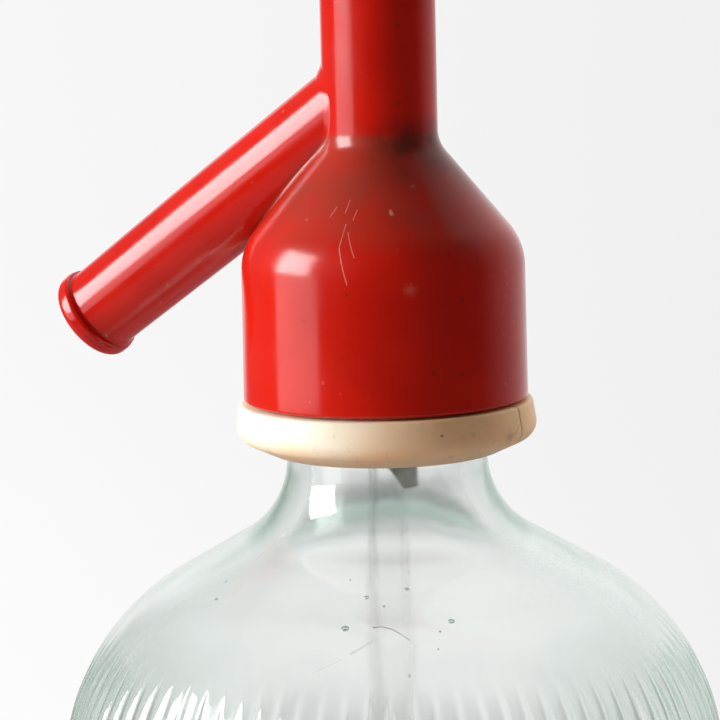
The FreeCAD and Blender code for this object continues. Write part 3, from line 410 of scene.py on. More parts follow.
window_low = hang_lamp("window_low", side=75, width=0.76, low=0.03, high=0.30, radiance=2.2, colour=WARM)
window_sky = hang_lamp("window_sky", side=79, width=0.60, low=0.31, high=0.89, radiance=13.0, colour=COOL)
soft_side = hang_lamp("soft_side", side=60, width=1.0, low=0.15, high=1.10, radiance=1.30, colour=WARMER)
far_side = hang_lamp("far_side", side=-122, width=0.90, low=0.05, high=0.90, radiance=1.7, colour=WARMER)
for lamp in (soft_side, far_side):
    lamp.visible_glossy = False
    lamp.visible_transmission = False
print("window lamps:", round(window_low.data.energy, 1), "W and", round(window_sky.data.energy, 1), "W")

# %% [markdown]
# ## Drawing outlines
#
# Nearly every piece of a siphon is turned: an outline drawn in the upright plane and swept round an
# axis. The outline is drawn as by hand. One vertex is extruded along each straight run, and where a
# corner is round the same vertex is spun about the round's centre, so every arc is a true arc. The
# spin operator turns towards the viewer's left for a positive axis here, so a left turn in the XZ
# plane uses the axis +Y and a right turn uses -Y.

# %% Edit-mode helpers
TOUCHING = 1e-6


def merge_doubles():
    """Merges vertices that lie on each other, and leaves all selected."""
    bpy.ops.mesh.select_all(action="SELECT")
    bpy.ops.mesh.remove_doubles(threshold=TOUCHING)
    bpy.ops.mesh.select_all(action="SELECT")


def face_outwards():
    """Turns all faces outwards and leaves edit mode."""
    bpy.ops.mesh.select_all(action="SELECT")
    bpy.ops.mesh.normals_make_consistent(inside=False)
    bpy.ops.object.mode_set(mode="OBJECT")


def edit_all():
    """Enters edit mode with the whole mesh selected."""
    bpy.ops.object.mode_set(mode="EDIT")
    bpy.ops.mesh.select_all(action="SELECT")


print("edit-mode helpers are ready")

# %% Outlines
ARC_STEP = math.radians(7.5)
ARRIVED = 1e-7
ROUNDING = 1e-6


def start_line(name, across, up):
    """A mesh of one vertex at a place in the XZ plane, left in edit mode."""
    line = start_primitive("plane", name, size=MM)
    line.data.name = name
    bpy.ops.object.mode_set(mode="EDIT")
    bpy.ops.mesh.select_mode(type="VERT")
    bpy.ops.mesh.merge(type="CENTER")
    bpy.ops.transform.translate(value=(across, 0, up))
    return line


def run_to(pen, goal, longest):
    """Extrudes the pen's vertex straight to a place, in runs no longer than asked."""
    pieces = max(1, math.ceil((goal - pen).length / longest - ROUNDING))
    step = (goal - pen) / pieces
    for _ in range(pieces):
        bpy.ops.mesh.extrude_vertices_move(TRANSFORM_OT_translate={"value": (step.x, 0, step.y)})
    return goal


def outline(name, corners, closed=False, longest=1.0, arc_step=ARC_STEP, arc_run=1.0):
    """Draws a line through corners (across, up, round) in mm. Stays in edit mode, all selected."""
    points = [Vector((c[0] * MM, c[1] * MM)) for c in corners]
    rounds = [c[2] * MM if len(c) > 2 else 0.0 for c in corners]
    count = len(points)
    arcs = {}
    for i in range(count):
        if rounds[i] and (closed or 0 < i < count - 1):
            back = (points[i - 1] - points[i]).normalized()
            ahead = (points[(i + 1) % count] - points[i]).normalized()
            half = back.angle(ahead) / 2
            reach = rounds[i] / math.tan(half)
            centre = points[i] + (back + ahead).normalized() * rounds[i] / math.sin(half)
            left = back.x * ahead.y - back.y * ahead.x < 0
            arcs[i] = (points[i] + back * reach, centre, math.pi - 2 * half, left)
    pen = points[0]
    if 0 in arcs:
        pen = points[0] + (points[1] - points[0]).normalized() * (arcs[0][0] - points[0]).length
    line = start_line(name, pen.x, pen.y)
    for i in list(range(1, count)) + ([0] if closed else []):
        if i not in arcs:
            pen = run_to(pen, points[i], longest)
            continue
        start, centre, angle, left = arcs[i]
        if (start - pen).length > ARRIVED:
            pen = run_to(pen, start, longest)
        steps = max(2, math.ceil(angle / arc_step), math.ceil(angle * rounds[i] / arc_run))
        axis = (0, 1, 0) if left else (0, -1, 0)
        centre_3d = (centre.x, 0, centre.y)
        bpy.ops.mesh.spin(steps=steps, angle=angle, use_auto_merge=False, center=centre_3d, axis=axis)
        pen = centre + Matrix.Rotation(angle if left else -angle, 2) @ (start - centre)
    merge_doubles()
    return line


def spin_round(columns, axis=(0, 0, 1)):
    """Sweeps the drawn line all the way round, closes its seam and poles, and leaves edit mode."""
    bpy.ops.mesh.select_all(action="SELECT")
    bpy.ops.mesh.spin(steps=columns, angle=2 * math.pi, use_auto_merge=True, center=(0, 0, 0), axis=axis)
    merge_doubles()
    face_outwards()


print("outlines can be drawn and spun")

# %% [markdown]
# ## The bottle's glass
#
# The bottle is one closed skin of glass: up the outside from the hollow under the base, over the lip,
# down the bore and along the inner floor. Glass has to be one closed mesh like this, because the
# renderer bends light where it enters and leaves, and each wall then has its real thickness. The
# outside needs many columns for its flutes and the inside few, so each is spun by itself, and the two
# are bridged on top of the lip.

# %% Bottle outlines
RIM_MM = 218.0
FLUTES = 88
COLUMNS_A_FLUTE = 8
INNER_COLUMNS = 264

bottle_outside = [
    (0, 9.0),
    (30.0, 7.5, 12.0),
    (42.0, 0.0, 1.2),
    (52.0, 0.0, 7.0),
    (52.0, 179.884, 36.0),
    (15.6, 200.9, 14.5),
    (15.6, 223.5, 0.6),
    (17.8, 223.5, 1.1),
    (17.8, 231.0, 1.4),
    (15.0, 231.0),
]
bottle_inside = [
    (14.2, 231.0),
    (11.4, 231.0, 1.6),
    (11.4, 197.551, 18.7),
    (47.0, 176.998, 31.0),
    (47.0, 7.0, 12.0),
    (0, 15.0),
]
bottle = outline(
    "glass_bottle", bottle_outside, longest=16 * MM, arc_step=math.radians(9.0), arc_run=1.45 * MM
)
spin_round(FLUTES * COLUMNS_A_FLUTE)
inner_skin = outline(
    "inner skin", bottle_inside, longest=16 * MM, arc_step=math.radians(9.0), arc_run=2.2 * MM
)
spin_round(INNER_COLUMNS)
print("outside:", len(bottle.data.polygons), "faces, inside:", len(inner_skin.data.polygons), "faces")

# %% [markdown]
# ## The flutes
#
# Each flute is a shallow scallop pressed into the outside: full depth up the straight side, running
# out to a round tip on the shoulder and at the foot. Cutting 88 grooves would leave thousands of
# slivers. Instead every vertex is given a weight, which is how deep the scallop is at its place, and
# one Displace modifier pushes the skin in by that much.

# %% Flute depths as weights
FLUTE_DEPTH = 0.6 * MM
FLUTE_HALF = 1.69 / 52.0
SIDE_TOP = 159.1 * MM
SIDE_FOOT = 16.0 * MM
SHOULDER_ARC = (13.18 * MM, 38.22 * MM)
FOOT_ARC = (71.4 * MM, 20.0 * MM)
FLUTED_RADIUS = 38 * MM
FLUTED_HEIGHTS = (9 * MM, 186 * MM)
LEAST_SHARE = 0.001


def flute_depth_at(radius, height):
    """How deep a flute's bottom lies under the skin at a place of the outside."""
    if height > SIDE_TOP:
        centre, arc = SHOULDER_ARC
        return math.hypot(radius - centre, height - SIDE_TOP) - arc
    if height < SIDE_FOOT:
        centre, arc = FOOT_ARC
        return radius - (centre - math.sqrt(max(arc**2 - (SIDE_FOOT - height) ** 2, 0)))
    return FLUTE_DEPTH


def weigh_flutes(piece):
    group = piece.vertex_groups.new(name="flutes")
    pitch = 2 * math.pi / FLUTES
    deep = 0
    for vertex in piece.data.vertices:
        radius, height = math.hypot(vertex.co.x, vertex.co.y), vertex.co.z
        if radius < FLUTED_RADIUS or not FLUTED_HEIGHTS[0] < height < FLUTED_HEIGHTS[1]:
            continue
        share = min(flute_depth_at(radius, height) / FLUTE_DEPTH, 1.0)
        turn = math.atan2(vertex.co.y, vertex.co.x) / pitch
        aside = abs(turn - round(turn)) * pitch
        if share > LEAST_SHARE and aside < FLUTE_HALF * math.sqrt(share):
            across = aside / (FLUTE_HALF * math.sqrt(share))
            group.add([vertex.index], share * (1 - across**2) ** 2, "REPLACE")
            deep += 1
    return deep


print("vertices in the flutes:", weigh_flutes(bottle))

# %% [markdown]
# ## Pressing the flutes, and an uneven inner wall
#
# The outside of pressed glass copies its mould, but the inside only meets air as it cools, so it
# comes out gently uneven. That unevenness is what makes the view through a thick bottle wander. A
# second Displace modifier, with a soft cloud texture, does it, and only on the inner wall. An attribute
# marks the inner wall before the two skins are joined, so that the glass can treat it differently.

# %% Modifier helpers
def apply_modifier(piece, kind, **options):
    """Adds a modifier by its operator, sets it and applies it."""
    only(piece)
    bpy.ops.object.modifier_add(type=kind)
    modifier = piece.modifiers[-1]
    for option, value in options.items():
        setattr(modifier, option, value)
    bpy.ops.object.modifier_apply(modifier=modifier.name)


def join_into(piece, others):
    """Joins the others into the piece."""
    only(piece)
    for other in others:
        other.select_set(True)
    bpy.ops.object.join()


def bridge_open_rings(piece):
    """Bridges the two open rings of a mesh."""
    only(piece)
    bpy.ops.object.mode_set(mode="EDIT")
    bpy.ops.mesh.select_mode(type="VERT")
    bpy.ops.mesh.select_all(action="DESELECT")
    bpy.ops.mesh.select_non_manifold()
    bpy.ops.mesh.bridge_edge_loops()
    face_outwards()


def clouds(name, size, depth):
    """A cloud texture whose clouds have a size in metres."""
    texture = bpy.data.textures.new(name, "CLOUDS")
    texture.noise_scale = size
    texture.noise_depth = depth
    return texture


print("modifiers can be applied")

# %% Flutes and inner wall
WALL_WANDER = 0.36 * MM
WANDER_SIZE = 17 * MM
WANDER_END = 205 * MM
WANDER_FADE = 14 * MM


def weigh_inner_wall(piece):
    """Full weight on the inside of the body and the shoulder, none near the neck's bore."""
    group = piece.vertex_groups.new(name="inner wall")
    for vertex in piece.data.vertices:
        weight = min(1.0, (WANDER_END - vertex.co.z) / WANDER_FADE)
        if weight > 0:
            group.add([vertex.index], weight, "REPLACE")


apply_modifier(bottle, "DISPLACE", strength=-FLUTE_DEPTH, mid_level=0.0, vertex_group="flutes")
weigh_inner_wall(inner_skin)
apply_modifier(
    inner_skin, "DISPLACE", strength=WALL_WANDER, mid_level=0.5, vertex_group="inner wall",
    texture=clouds("uneven glass", WANDER_SIZE, depth=1), texture_coords="LOCAL",
)
bpy.ops.geometry.attribute_add(name="inner_skin", domain="POINT", data_type="FLOAT")
inner_skin.data.attributes["inner_skin"].data.foreach_set("value", [1.0] * len(inner_skin.data.vertices))
join_into(bottle, [inner_skin])
bridge_open_rings(bottle)
print("bottle:", len(bottle.data.polygons), "faces")

# %% [markdown]
# ## Bubbles in the glass
#
# A bubble is a hole inside the glass, so its skin faces into itself: a small flattened sphere is
# turned inside out and joined to the bottle. Its place is given round the axis and up it, and a ray
# towards the axis finds the skin there, so each bubble lies at its own depth under the surface.

# %% Bubbles
BUBBLE_SEED = 21
SMALL_BUBBLES = 26
OUTSIDE = 90 * MM
bubble_places = [
    (-76.2, 189.9, 1.3, 0.62),
    (-72.1, 193.3, 1.6, 0.42),
    (-59.8, 194.0, 1.2, 0.34),
    (-49.7, 190.4, 1.5, 0.52),
]


def skin_at(piece, azimuth, height):
    """Where a level ray towards the axis meets the piece, and the skin's direction there."""
    out = Vector((math.cos(math.radians(azimuth)), math.sin(math.radians(azimuth)), 0))
    return piece.ray_cast(out * OUTSIDE + Vector((0, 0, height * MM)), -out)[1:3]


def make_bubble(azimuth, height, depth, radius):
    place, normal = skin_at(bottle, azimuth, height)
    bubble = start_primitive(
        "uv_sphere", "bubble", segments=16, ring_count=8, radius=radius * MM,
        location=place - normal * depth * MM, rotation=normal.to_track_quat("Z", "Y").to_euler(),
        scale=(1.0, 0.82, 0.66),
    )
    bpy.ops.object.transform_apply(location=True, rotation=True, scale=True)
    edit_all()
    bpy.ops.mesh.flip_normals()
    bpy.ops.object.mode_set(mode="OBJECT")
    return bubble


chance = random.Random(BUBBLE_SEED)
for _ in range(SMALL_BUBBLES):
    azimuth = chance.uniform(-180, 180)
    height = chance.choice((chance.uniform(20, 150), chance.uniform(183, 196)))
    bubble_places.append((azimuth, height, chance.uniform(1.2, 2.8), chance.uniform(0.12, 0.3)))
join_into(bottle, [make_bubble(*spot) for spot in bubble_places])
bpy.ops.object.transform_apply(location=True, rotation=True, scale=True)
triangles = sum(len(p.vertices) - 2 for p in bottle.data.polygons)
print(len(bubble_places), "bubbles; bottle:", triangles, "triangles")

# %% [markdown]
# ## The dip tube
#
# A clear tube carries the soda up to the valve. Its wall is a closed outline swept round, and its
# foot is cut on the slant with the bisect operator, so that it can't sit flat on the floor.

# %% Dip tube
TUBE_BORE, TUBE_RADIUS = 2.1, 3.2
TUBE_FOOT, TUBE_TOP = 16.0, 220.0


def cut_slant(through, along):
    """Cuts the active mesh with a plane that holds the line along and Y; keeps its upper side."""
    across, up = along
    edit_all()
    bpy.ops.mesh.bisect(
        plane_co=(through[0] * MM, 0, through[1] * MM),
        plane_no=Vector((up, 0, -across)).normalized(),
        use_fill=True,
        clear_inner=True,
    )


tube_outline = [
    (TUBE_BORE, TUBE_FOOT),
    (TUBE_RADIUS, TUBE_FOOT),
    (TUBE_RADIUS, TUBE_TOP, 0.3),
    (TUBE_BORE, TUBE_TOP, 0.3),
]
dip_tube = outline("clear_dip_tube", tube_outline, closed=True, longest=8 * MM)
spin_round(columns=48)
cut_slant(through=(TUBE_RADIUS, TUBE_FOOT + 0.5), along=(-7.4, 6.0))
bpy.ops.object.mode_set(mode="OBJECT")
print("dip tube:", len(dip_tube.data.polygons), "faces")

# %% [markdown]
# ## The valve's spring
#
# A coil spring stands on the washer of the leather cup and shortens when the lever goes down. Here the
# coil is made again: the wire's round section, swept round the axis by a Screw modifier that climbs one
# pitch a turn. Its two open ends are filled. It is tied to the siphon's body when the piece is finished.

# %% Valve spring
SPRING_FOOT = 275.3 * MM
SPRING_HEAD = 288.5 * MM
SPRING_RADIUS = 4.25 * MM
WIRE_RADIUS = 0.45 * MM
SPRING_TURNS = 6
STEPS_A_TURN = 36

valve_coil = start_primitive(
    "circle", "valve_coil", vertices=12, radius=WIRE_RADIUS,
    location=(SPRING_RADIUS, 0, SPRING_FOOT + WIRE_RADIUS), rotation=(math.radians(90), 0, 0),
)
bpy.ops.object.transform_apply(location=True, rotation=True, scale=True)
climb = SPRING_HEAD - SPRING_FOOT - 2 * WIRE_RADIUS
apply_modifier(
    valve_coil, "SCREW", axis="Z", angle=2 * math.pi * SPRING_TURNS, screw_offset=climb,
    steps=STEPS_A_TURN * SPRING_TURNS, render_steps=STEPS_A_TURN * SPRING_TURNS,
)
edit_all()
bpy.ops.mesh.fill_holes(sides=0)
face_outwards()
pitch = round(climb / SPRING_TURNS / MM, 2)
print("valve spring:", len(valve_coil.data.polygons), "faces,", pitch, "mm a turn")

# %% [markdown]
# ## The rubber sleeve
#
# An aged rubber sleeve joins the tube to the nipple above it. Its lower end is torn off on a slant.
# After the bisect, the edge of the tear gets a Bevel. Old rubber crumbles, so a Displace modifier eats
# into every side of it. Its strength is negative, so that the bore can only get wider round the tube.

# %% Rubber sleeve
SLEEVE_BORE, SLEEVE_RADIUS = 3.25, 5.1
SLEEVE_FOOT, SLEEVE_TOP = 203.7, 232.8
TEAR_TURN = 25.0
CRUMB_DEPTH = -0.75 * MM
CRUMB_SIZE = 2.4 * MM


def round_edges(piece, width, segments, angle):
    """Bevels every edge that is sharper than an angle in degrees, by a width in mm."""
    apply_modifier(
        piece, "BEVEL", width=width * MM, segments=segments,
        limit_method="ANGLE", angle_limit=math.radians(angle),
    )


def turn_mesh(degrees, axis="Z"):
    """Turns what is selected to the left, seen against the axis. The operator turns the other way."""
    bpy.ops.transform.rotate(value=-math.radians(degrees), orient_axis=axis, center_override=(0, 0, 0))


sleeve_outline = [
    (SLEEVE_BORE, SLEEVE_FOOT),
    (SLEEVE_RADIUS, SLEEVE_FOOT),
    (SLEEVE_RADIUS, SLEEVE_TOP, 0.4),
    (SLEEVE_BORE, SLEEVE_TOP, 0.4),
]
tube_sleeve = outline("rubber_tube_sleeve", sleeve_outline, closed=True, longest=1.2 * MM)
spin_round(columns=64)
cut_slant(through=(2.5, SLEEVE_FOOT), along=(-8.6, 13.243))
bpy.ops.mesh.select_all(action="SELECT")
turn_mesh(TEAR_TURN)
bpy.ops.object.mode_set(mode="OBJECT")
round_edges(tube_sleeve, width=0.25, segments=2, angle=40)
apply_modifier(
    tube_sleeve, "DISPLACE", strength=CRUMB_DEPTH, mid_level=0.0,
    texture=clouds("crumbling rubber", CRUMB_SIZE, depth=3), texture_coords="LOCAL",
)
print("sleeve:", len(tube_sleeve.data.polygons), "faces")

# %% [markdown]
# ## The split collar
#
# Two halves of an ivory ring lie under the lip and are held together by the bell. One outline is
# filled to a face and spun half a turn, which gives a solid with both its end faces. The second half
# is the same outline turned by 180 degrees, and a narrow gap stays open between them.

# %% Collar halves
PARTING_TURN = -3.3
PARTING_HALF_GAP = 0.1 * MM
COLLAR_OUTLINE = [
    (15.9, -8.15, 0.3),
    (17.9, -8.15, 1.6),
    (23.6, -5.5, 2.6),
    (22.75, -0.4, 0.55),
    (19.6, -0.4),
    (19.6, 11.5, 0.4),
    (18.1, 11.5),
    (18.1, 5.5),
    (15.9, 5.5),
]


def above_rim(corners):
    """Turns corners' heights above the rim into heights above the table."""
    return [(c[0], c[1] + RIM_MM, *c[2:]) for c in corners]


def make_collar_half(name, start_turn):
    half = outline(name, above_rim(COLLAR_OUTLINE), closed=True, longest=4 * MM, arc_run=0.35 * MM)
    bpy.ops.mesh.edge_face_add()
    turn_mesh(start_turn)
    bpy.ops.mesh.spin(steps=120, angle=math.pi, use_auto_merge=False, center=(0, 0, 0), axis=(0, 0, -1))
    merge_doubles()
    middle = math.radians(start_turn + 90.0)
    bpy.ops.transform.translate(value=Vector((math.cos(middle), math.sin(middle), 0)) * PARTING_HALF_GAP)
    face_outwards()
    return half


collar_front = make_collar_half("ivory_collar_front", PARTING_TURN + 180.0)
collar_rear = make_collar_half("ivory_collar_rear", PARTING_TURN)
for half in (collar_front, collar_rear):
    round_edges(half, width=0.18, segments=3, angle=50)
    print(half.name, len(half.data.polygons), "faces")

# %% [markdown]
# ## The head: bell, column and turret
#
# The head is one moulding. Its outside and its bores make one closed outline, so a single spin gives
# the bell, the column and the turret with real walls.

# %% Bell and column
HEAD_OUTLINE = [
    (19.9, 0.0, 0.3),
    (22.1, 0.0, 0.5),
    (21.9, 23.8, 10.0),
    (8.85, 39.5, 5.0),
    (8.85, 72.0, 1.2),
    (11.0, 74.2, 0.8),
    (11.0, 92.0, 0.4),
    (8.6, 92.0),
    (8.6, 74.5),
    (6.2, 74.5),
    (6.2, 18.3),
    (8.7, 18.3),
    (8.7, 35.61),
    (15.4, 27.55),
    (15.4, 18.3),
    (17.4, 18.3),
    (17.4, 15.5),
    (19.9, 15.5),
]
head = outline(
    "red_head", above_rim(HEAD_OUTLINE),
    closed=True, longest=3 * MM, arc_step=math.radians(5), arc_run=0.6 * MM,
)
spin_round(columns=224)
print("bell and column:", len(head.data.polygons), "faces")

# %% [markdown]
# ## The spout
#
# The spout leaves the column at a slope and runs down into the bell's shoulder, so its root is a
# saddle-shaped curve with a small hollow round. Cutting one mesh with the other would leave a rough
# seam. Instead the spout's outline starts with two rings at its open root: one as wide as the tube
# and one a millimetre wider. A Shrinkwrap modifier sends both rings along the spout's own axis on to
# the head, which gives the saddle exactly, and a Bevel on the inner ring makes the hollow round.

# %% Spout
SPOUT_FALL = 35.5
SPOUT_HEIGHT = RIM + 48.3 * MM
ROOT_START = 34.0
ROOT_RADIUS = 7.19
SKIRT_WIDTH = 1.3
BORE_END = 13.0

spout_corners = [
    (-ROOT_START, ROOT_RADIUS + SKIRT_WIDTH),
    (-ROOT_START, ROOT_RADIUS),
    (-62.2, 6.85, 0.5),
    (-62.2, 7.6, 0.9),
    (-65.4, 7.6, 1.5),
    (-65.4, 4.8, 0.5),
    (-64.2, 4.2, 1.0),
    (-BORE_END, 4.2),
]
spout = outline("spout", spout_corners, longest=4 * MM, arc_run=0.35 * MM)
bpy.ops.object.mode_set(mode="OBJECT")


def group_where(piece, name, at, low, high):
    """Puts the vertices at a place along X, between two heights, into a named group."""
    chosen = [v.index for v in piece.data.vertices if abs(v.co.x - at) < TOUCHING and low < v.co.z < high]
    piece.vertex_groups.new(name=name).add(chosen, 1.0, "REPLACE")


root_x = -ROOT_START * MM
skirt_start = (ROOT_RADIUS + SKIRT_WIDTH / 2) * MM
group_where(spout, "root", root_x, 7 * MM, 1.0)
group_where(spout, "skirt edge", root_x, skirt_start, 1.0)
group_where(spout, "root corner", root_x, 7 * MM, skirt_start)
group_where(spout, "bore end", -BORE_END * MM, 0.0, 1.0)
edit_all()
spin_round(columns=112, axis=(1, 0, 0))
spout.rotation_euler = (0, -math.radians(SPOUT_FALL), 0)
spout.location = (0, 0, SPOUT_HEIGHT)
bpy.context.view_layer.update()
print("spout:", len(spout.data.polygons), "faces")

# %% Spout root on the head
def project_ring(piece, group, target, cull):
    """Sends a ring along the piece's own X axis on to the target."""
    apply_modifier(
        piece, "SHRINKWRAP", target=target, vertex_group=group, wrap_method="PROJECT",
        use_project_x=True, use_positive_direction=True, use_negative_direction=False, cull_face=cull,
    )


project_ring(spout, "root", head, "OFF")
project_ring(spout, "bore end", head, "FRONT")
bpy.ops.object.transform_apply(location=True, rotation=True, scale=False)
bpy.ops.object.mode_set(mode="EDIT")
bpy.ops.mesh.select_mode(type="VERT")
bpy.ops.mesh.select_all(action="DESELECT")
spout.vertex_groups.active_index = spout.vertex_groups["root corner"].index
bpy.ops.object.vertex_group_select()
bpy.ops.mesh.bevel(offset=1.0 * MM, segments=5, profile=0.5, affect="EDGES", clamp_overlap=False)
bpy.ops.object.mode_set(mode="OBJECT")
apply_modifier(
    spout, "SHRINKWRAP", target=head, vertex_group="skirt edge",
    wrap_method="NEAREST_SURFACEPOINT", wrap_mode="ABOVE_SURFACE", offset=-0.12 * MM,
)
bridge_open_rings(spout)
spread = [v.co.x / MM for v in spout.data.vertices]
print("spout reaches from x", round(min(spread), 1), "to", round(max(spread), 1), "mm")

# %% [markdown]
# ## Waterway, slot and pin hole
#
# The spout's bore has to open into the column, and the turret has a slot in front for the lever. A
# Boolean modifier subtracts a plain cutter from the moulding. The cuts stay away from the visible
# blend of the spout, so they can't spoil its shading.

# %% Boolean cuts in the head
def apply_boolean(piece, cutter, operation="DIFFERENCE"):
    apply_modifier(piece, "BOOLEAN", object=cutter, operation=operation, solver="EXACT")
    bpy.data.objects.remove(cutter)


WATERWAY_RADIUS = 4.25 * MM
WATERWAY_LENGTH = 24 * MM
fall = math.radians(SPOUT_FALL)
middle = WATERWAY_LENGTH / 2
waterway = start_primitive(
    "cylinder", "waterway", vertices=96, radius=WATERWAY_RADIUS, depth=WATERWAY_LENGTH,
    location=(-middle * math.cos(fall), 0, SPOUT_HEIGHT - middle * math.sin(fall)),
    rotation=(0, math.pi / 2 - fall, 0),
)
apply_boolean(head, waterway)
SLOT_DEPTH, SLOT_WIDTH, SLOT_HEIGHT = 15 * MM, 8.2 * MM, 11 * MM
SLOT_MIDDLE = RIM + 81.5 * MM
slot_box = start_primitive(
    "cube", "slot", size=1.0,
    location=(SLOT_DEPTH / 2, 0, SLOT_MIDDLE), scale=(SLOT_DEPTH, SLOT_WIDTH, SLOT_HEIGHT),
)
apply_boolean(head, slot_box)
PIN_X, PIN_Z = 9.5 * MM, RIM + 82.0 * MM
PIN_HOLE = 1.53
PIN_CUT_LENGTH = 30 * MM


def pin_cutter(radius):
    return start_primitive(
        "cylinder", "pin hole", vertices=48, radius=radius * MM, depth=PIN_CUT_LENGTH,
        location=(PIN_X, 0, PIN_Z), rotation=(math.pi / 2, 0, 0),
    )


apply_boolean(head, pin_cutter(PIN_HOLE))
print("head after the cuts:", len(head.data.polygons), "faces")

# %% [markdown]
# ## The lugs
#
# Two lugs carry the lever's pin. Each is an outline filled to a face and extruded to a plate. Their
# edges get a Bevel after the pin hole is cut, and the plates are then joined to the head, with their
# roots inside the turret's wall.

# %% Lug plates
def make_prism(name, corners, low, high, arc_run=0.5):
    """Fills an outline in the upright plane and extrudes it from one depth to another along Y."""
    prism = outline(name, corners, closed=True, longest=1.0, arc_step=math.radians(9), arc_run=arc_run * MM)
    bpy.ops.mesh.edge_face_add()
    bpy.ops.transform.translate(value=(0, low * MM, 0))
    bpy.ops.mesh.extrude_region_move(TRANSFORM_OT_translate={"value": (0, (high - low) * MM, 0)})
    face_outwards()
    return prism


LUG_INNER, LUG_OUTER = 4.1, 7.6
lug_outline = above_rim([(7.75, 74.2), (14.1, 77.4, 4.4), (14.1, 86.6, 4.4), (7.75, 86.6)])
lugs = []
for low, high in ((-LUG_OUTER, -LUG_INNER), (LUG_INNER, LUG_OUTER)):
    lug = make_prism("lug", lug_outline, low, high)
    apply_boolean(lug, pin_cutter(PIN_HOLE))
    round_edges(lug, width=0.35, segments=3, angle=40)
    lugs.append(lug)

join_into(head, [spout] + lugs)
print("head with spout and lugs:", len(head.data.polygons), "faces")

# %% [markdown]
# ## The lever
#
# The lever is a bowed bar with a fork at its inner end and a thumb plate outside. Seen from the side
# it is one outline, and seen from above another. Two prisms, one from each view, are intersected, so
# both outlines are right at once. The fork's slot and the pin hole are cut, and a Bevel rounds it.

# %% Lever
PLAN_DEPTH = 330
LEVER_HALF_WIDTH = 10
LEVER_PIN_HOLE = 1.55


def lay_flat(prism):
    """Turns a prism drawn in the upright plane so that its outline is seen from above."""
    edit_all()
    turn_mesh(90, "X")
    face_outwards()
    return prism


lever_side = [
    (-2.95, 77.55, 2.9),
    (-2.95, 83.45, 2.9),
    (5.0, 83.45, 2.0),
    (9.0, 86.2, 2.0),
    (35.5, 89.6, 70.0),
    (68.0, 78.5, 1.2),
    (67.2, 75.1, 1.2),
    (35.5, 86.2, 42.0),
    (15.5, 79.3, 4.0),
    (9.5, 77.8, 2.0),
    (5.0, 77.55, 2.0),
]
lever_plan = [(-8, 3.8), (24.5, 3.8, 18), (43.5, 8.5, 18), (68.0, 8.5, 8.2)]
lever_plan += [(corner[0], -corner[1], *corner[2:]) for corner in reversed(lever_plan)]
fork_plan = [(-8, 2.0), (3.2, 2.0, 1.95), (3.2, -2.0, 1.95), (-8, -2.0)]
lever = make_prism("red_lever", above_rim(lever_side), -LEVER_HALF_WIDTH, LEVER_HALF_WIDTH, arc_run=1.6)
plan_prism = lay_flat(make_prism("plan", lever_plan, -PLAN_DEPTH, PLAN_DEPTH, arc_run=1.6))
apply_boolean(lever, plan_prism, "INTERSECT")
apply_boolean(lever, lay_flat(make_prism("fork", fork_plan, -PLAN_DEPTH, PLAN_DEPTH)))
apply_boolean(lever, pin_cutter(LEVER_PIN_HOLE))
round_edges(lever, width=0.8, segments=4, angle=38)
print("lever:", len(lever.data.polygons), "faces")

# %% Top cap
cap_outline = [
    (0, 311.2), (6.3, 311.2, 0.5), (6.3, 305.6, 0.3), (8.5, 305.6, 0.4),
    (8.5, 310.0), (11.0, 310.0, 0.4), (11.0, 314.8, 3.0), (0, 314.8),
]
top_cap = outline("red_top_cap", cap_outline, longest=2 * MM, arc_run=0.4 * MM)
spin_round(columns=160)
print("top cap:", len(top_cap.data.polygons), "faces")

# %% [markdown]
# ## Effects that several materials share
#
# Old plastic, glass and metal show the same few signs of use: straight scratches, small spots, specks
# of dust and fine scuffs. Each is a node group, built once, that puts out a mask from 0 to 1. Marks at
# a known place are drawn on a flat map of the piece: the way round the axis, and the height. A
# distance to a short line on that map gives a scratch, and a distance to a point gives a spot.

# %% Pattern helpers
def parts_of(value, kind="XYZ"):
    """The three numbers of a place or a colour."""
    node = put(value.socket.id_data, "ShaderNodeSeparate" + kind, {0: value})
    return [Output(socket) for socket in node.outputs]


def height_of(place):
    return parts_of(place)[2]


def radius_of(place):
    """The distance from the upright axis."""
    return vector_math("LENGTH", vector_math("MULTIPLY", place, NO_HEIGHT))


def noise(place, scale, detail=3.0, roughness=0.5):
    """A noise from 0 to 1 at a place; scale counts its bumps in a metre."""
    sockets = {"Vector": place, "Scale": scale, "Detail": detail, "Roughness": roughness}
    return wire("ShaderNodeTexNoise", sockets)


def mapped(place, **changes):
    """A place that is moved, turned or stretched for a pattern."""
    return wire("ShaderNodeMapping", {"Vector": place, **changes})


print("pattern helpers are ready")

# %% Map, scratch and spot
def around_axis(place, radius):
    """The flat map: (way round the axis at a given radius, height)."""
    across, depth, height = parts_of(place)
    way = calculate("ARCTAN2", depth, across) * radius
    return [wire("ShaderNodeCombineXYZ", {0: way, 1: height})]


def straight_scratch(around, start, end, width):
    """A straight scratch between two points of the map, ragged along its edges."""
    along = vector_math("SUBTRACT", end, start)
    there = vector_math("SUBTRACT", around, start)
    product, square = (vector_math("DOT_PRODUCT", vector, along) for vector in (there, along))
    share = calculate("DIVIDE", product, square, clamp=True)
    nearest = wire("ShaderNodeVectorMath", {0: along, 3: share}, operation="SCALE")
    ragged = noise(around, scale=1800.0, detail=2.0) * (width * 2.0)
    return [stretch(vector_math("DISTANCE", there, nearest), ragged, ragged * 0.3)]


def ragged_spot(around, centre, size):
    """A round spot on the map with a ragged edge."""
    size = size * stretch(noise(around, scale=1200.0), 0.25, 0.75, 0.55, 1.45)
    return [stretch(vector_math("DISTANCE", around, centre), size, size * 0.15)]


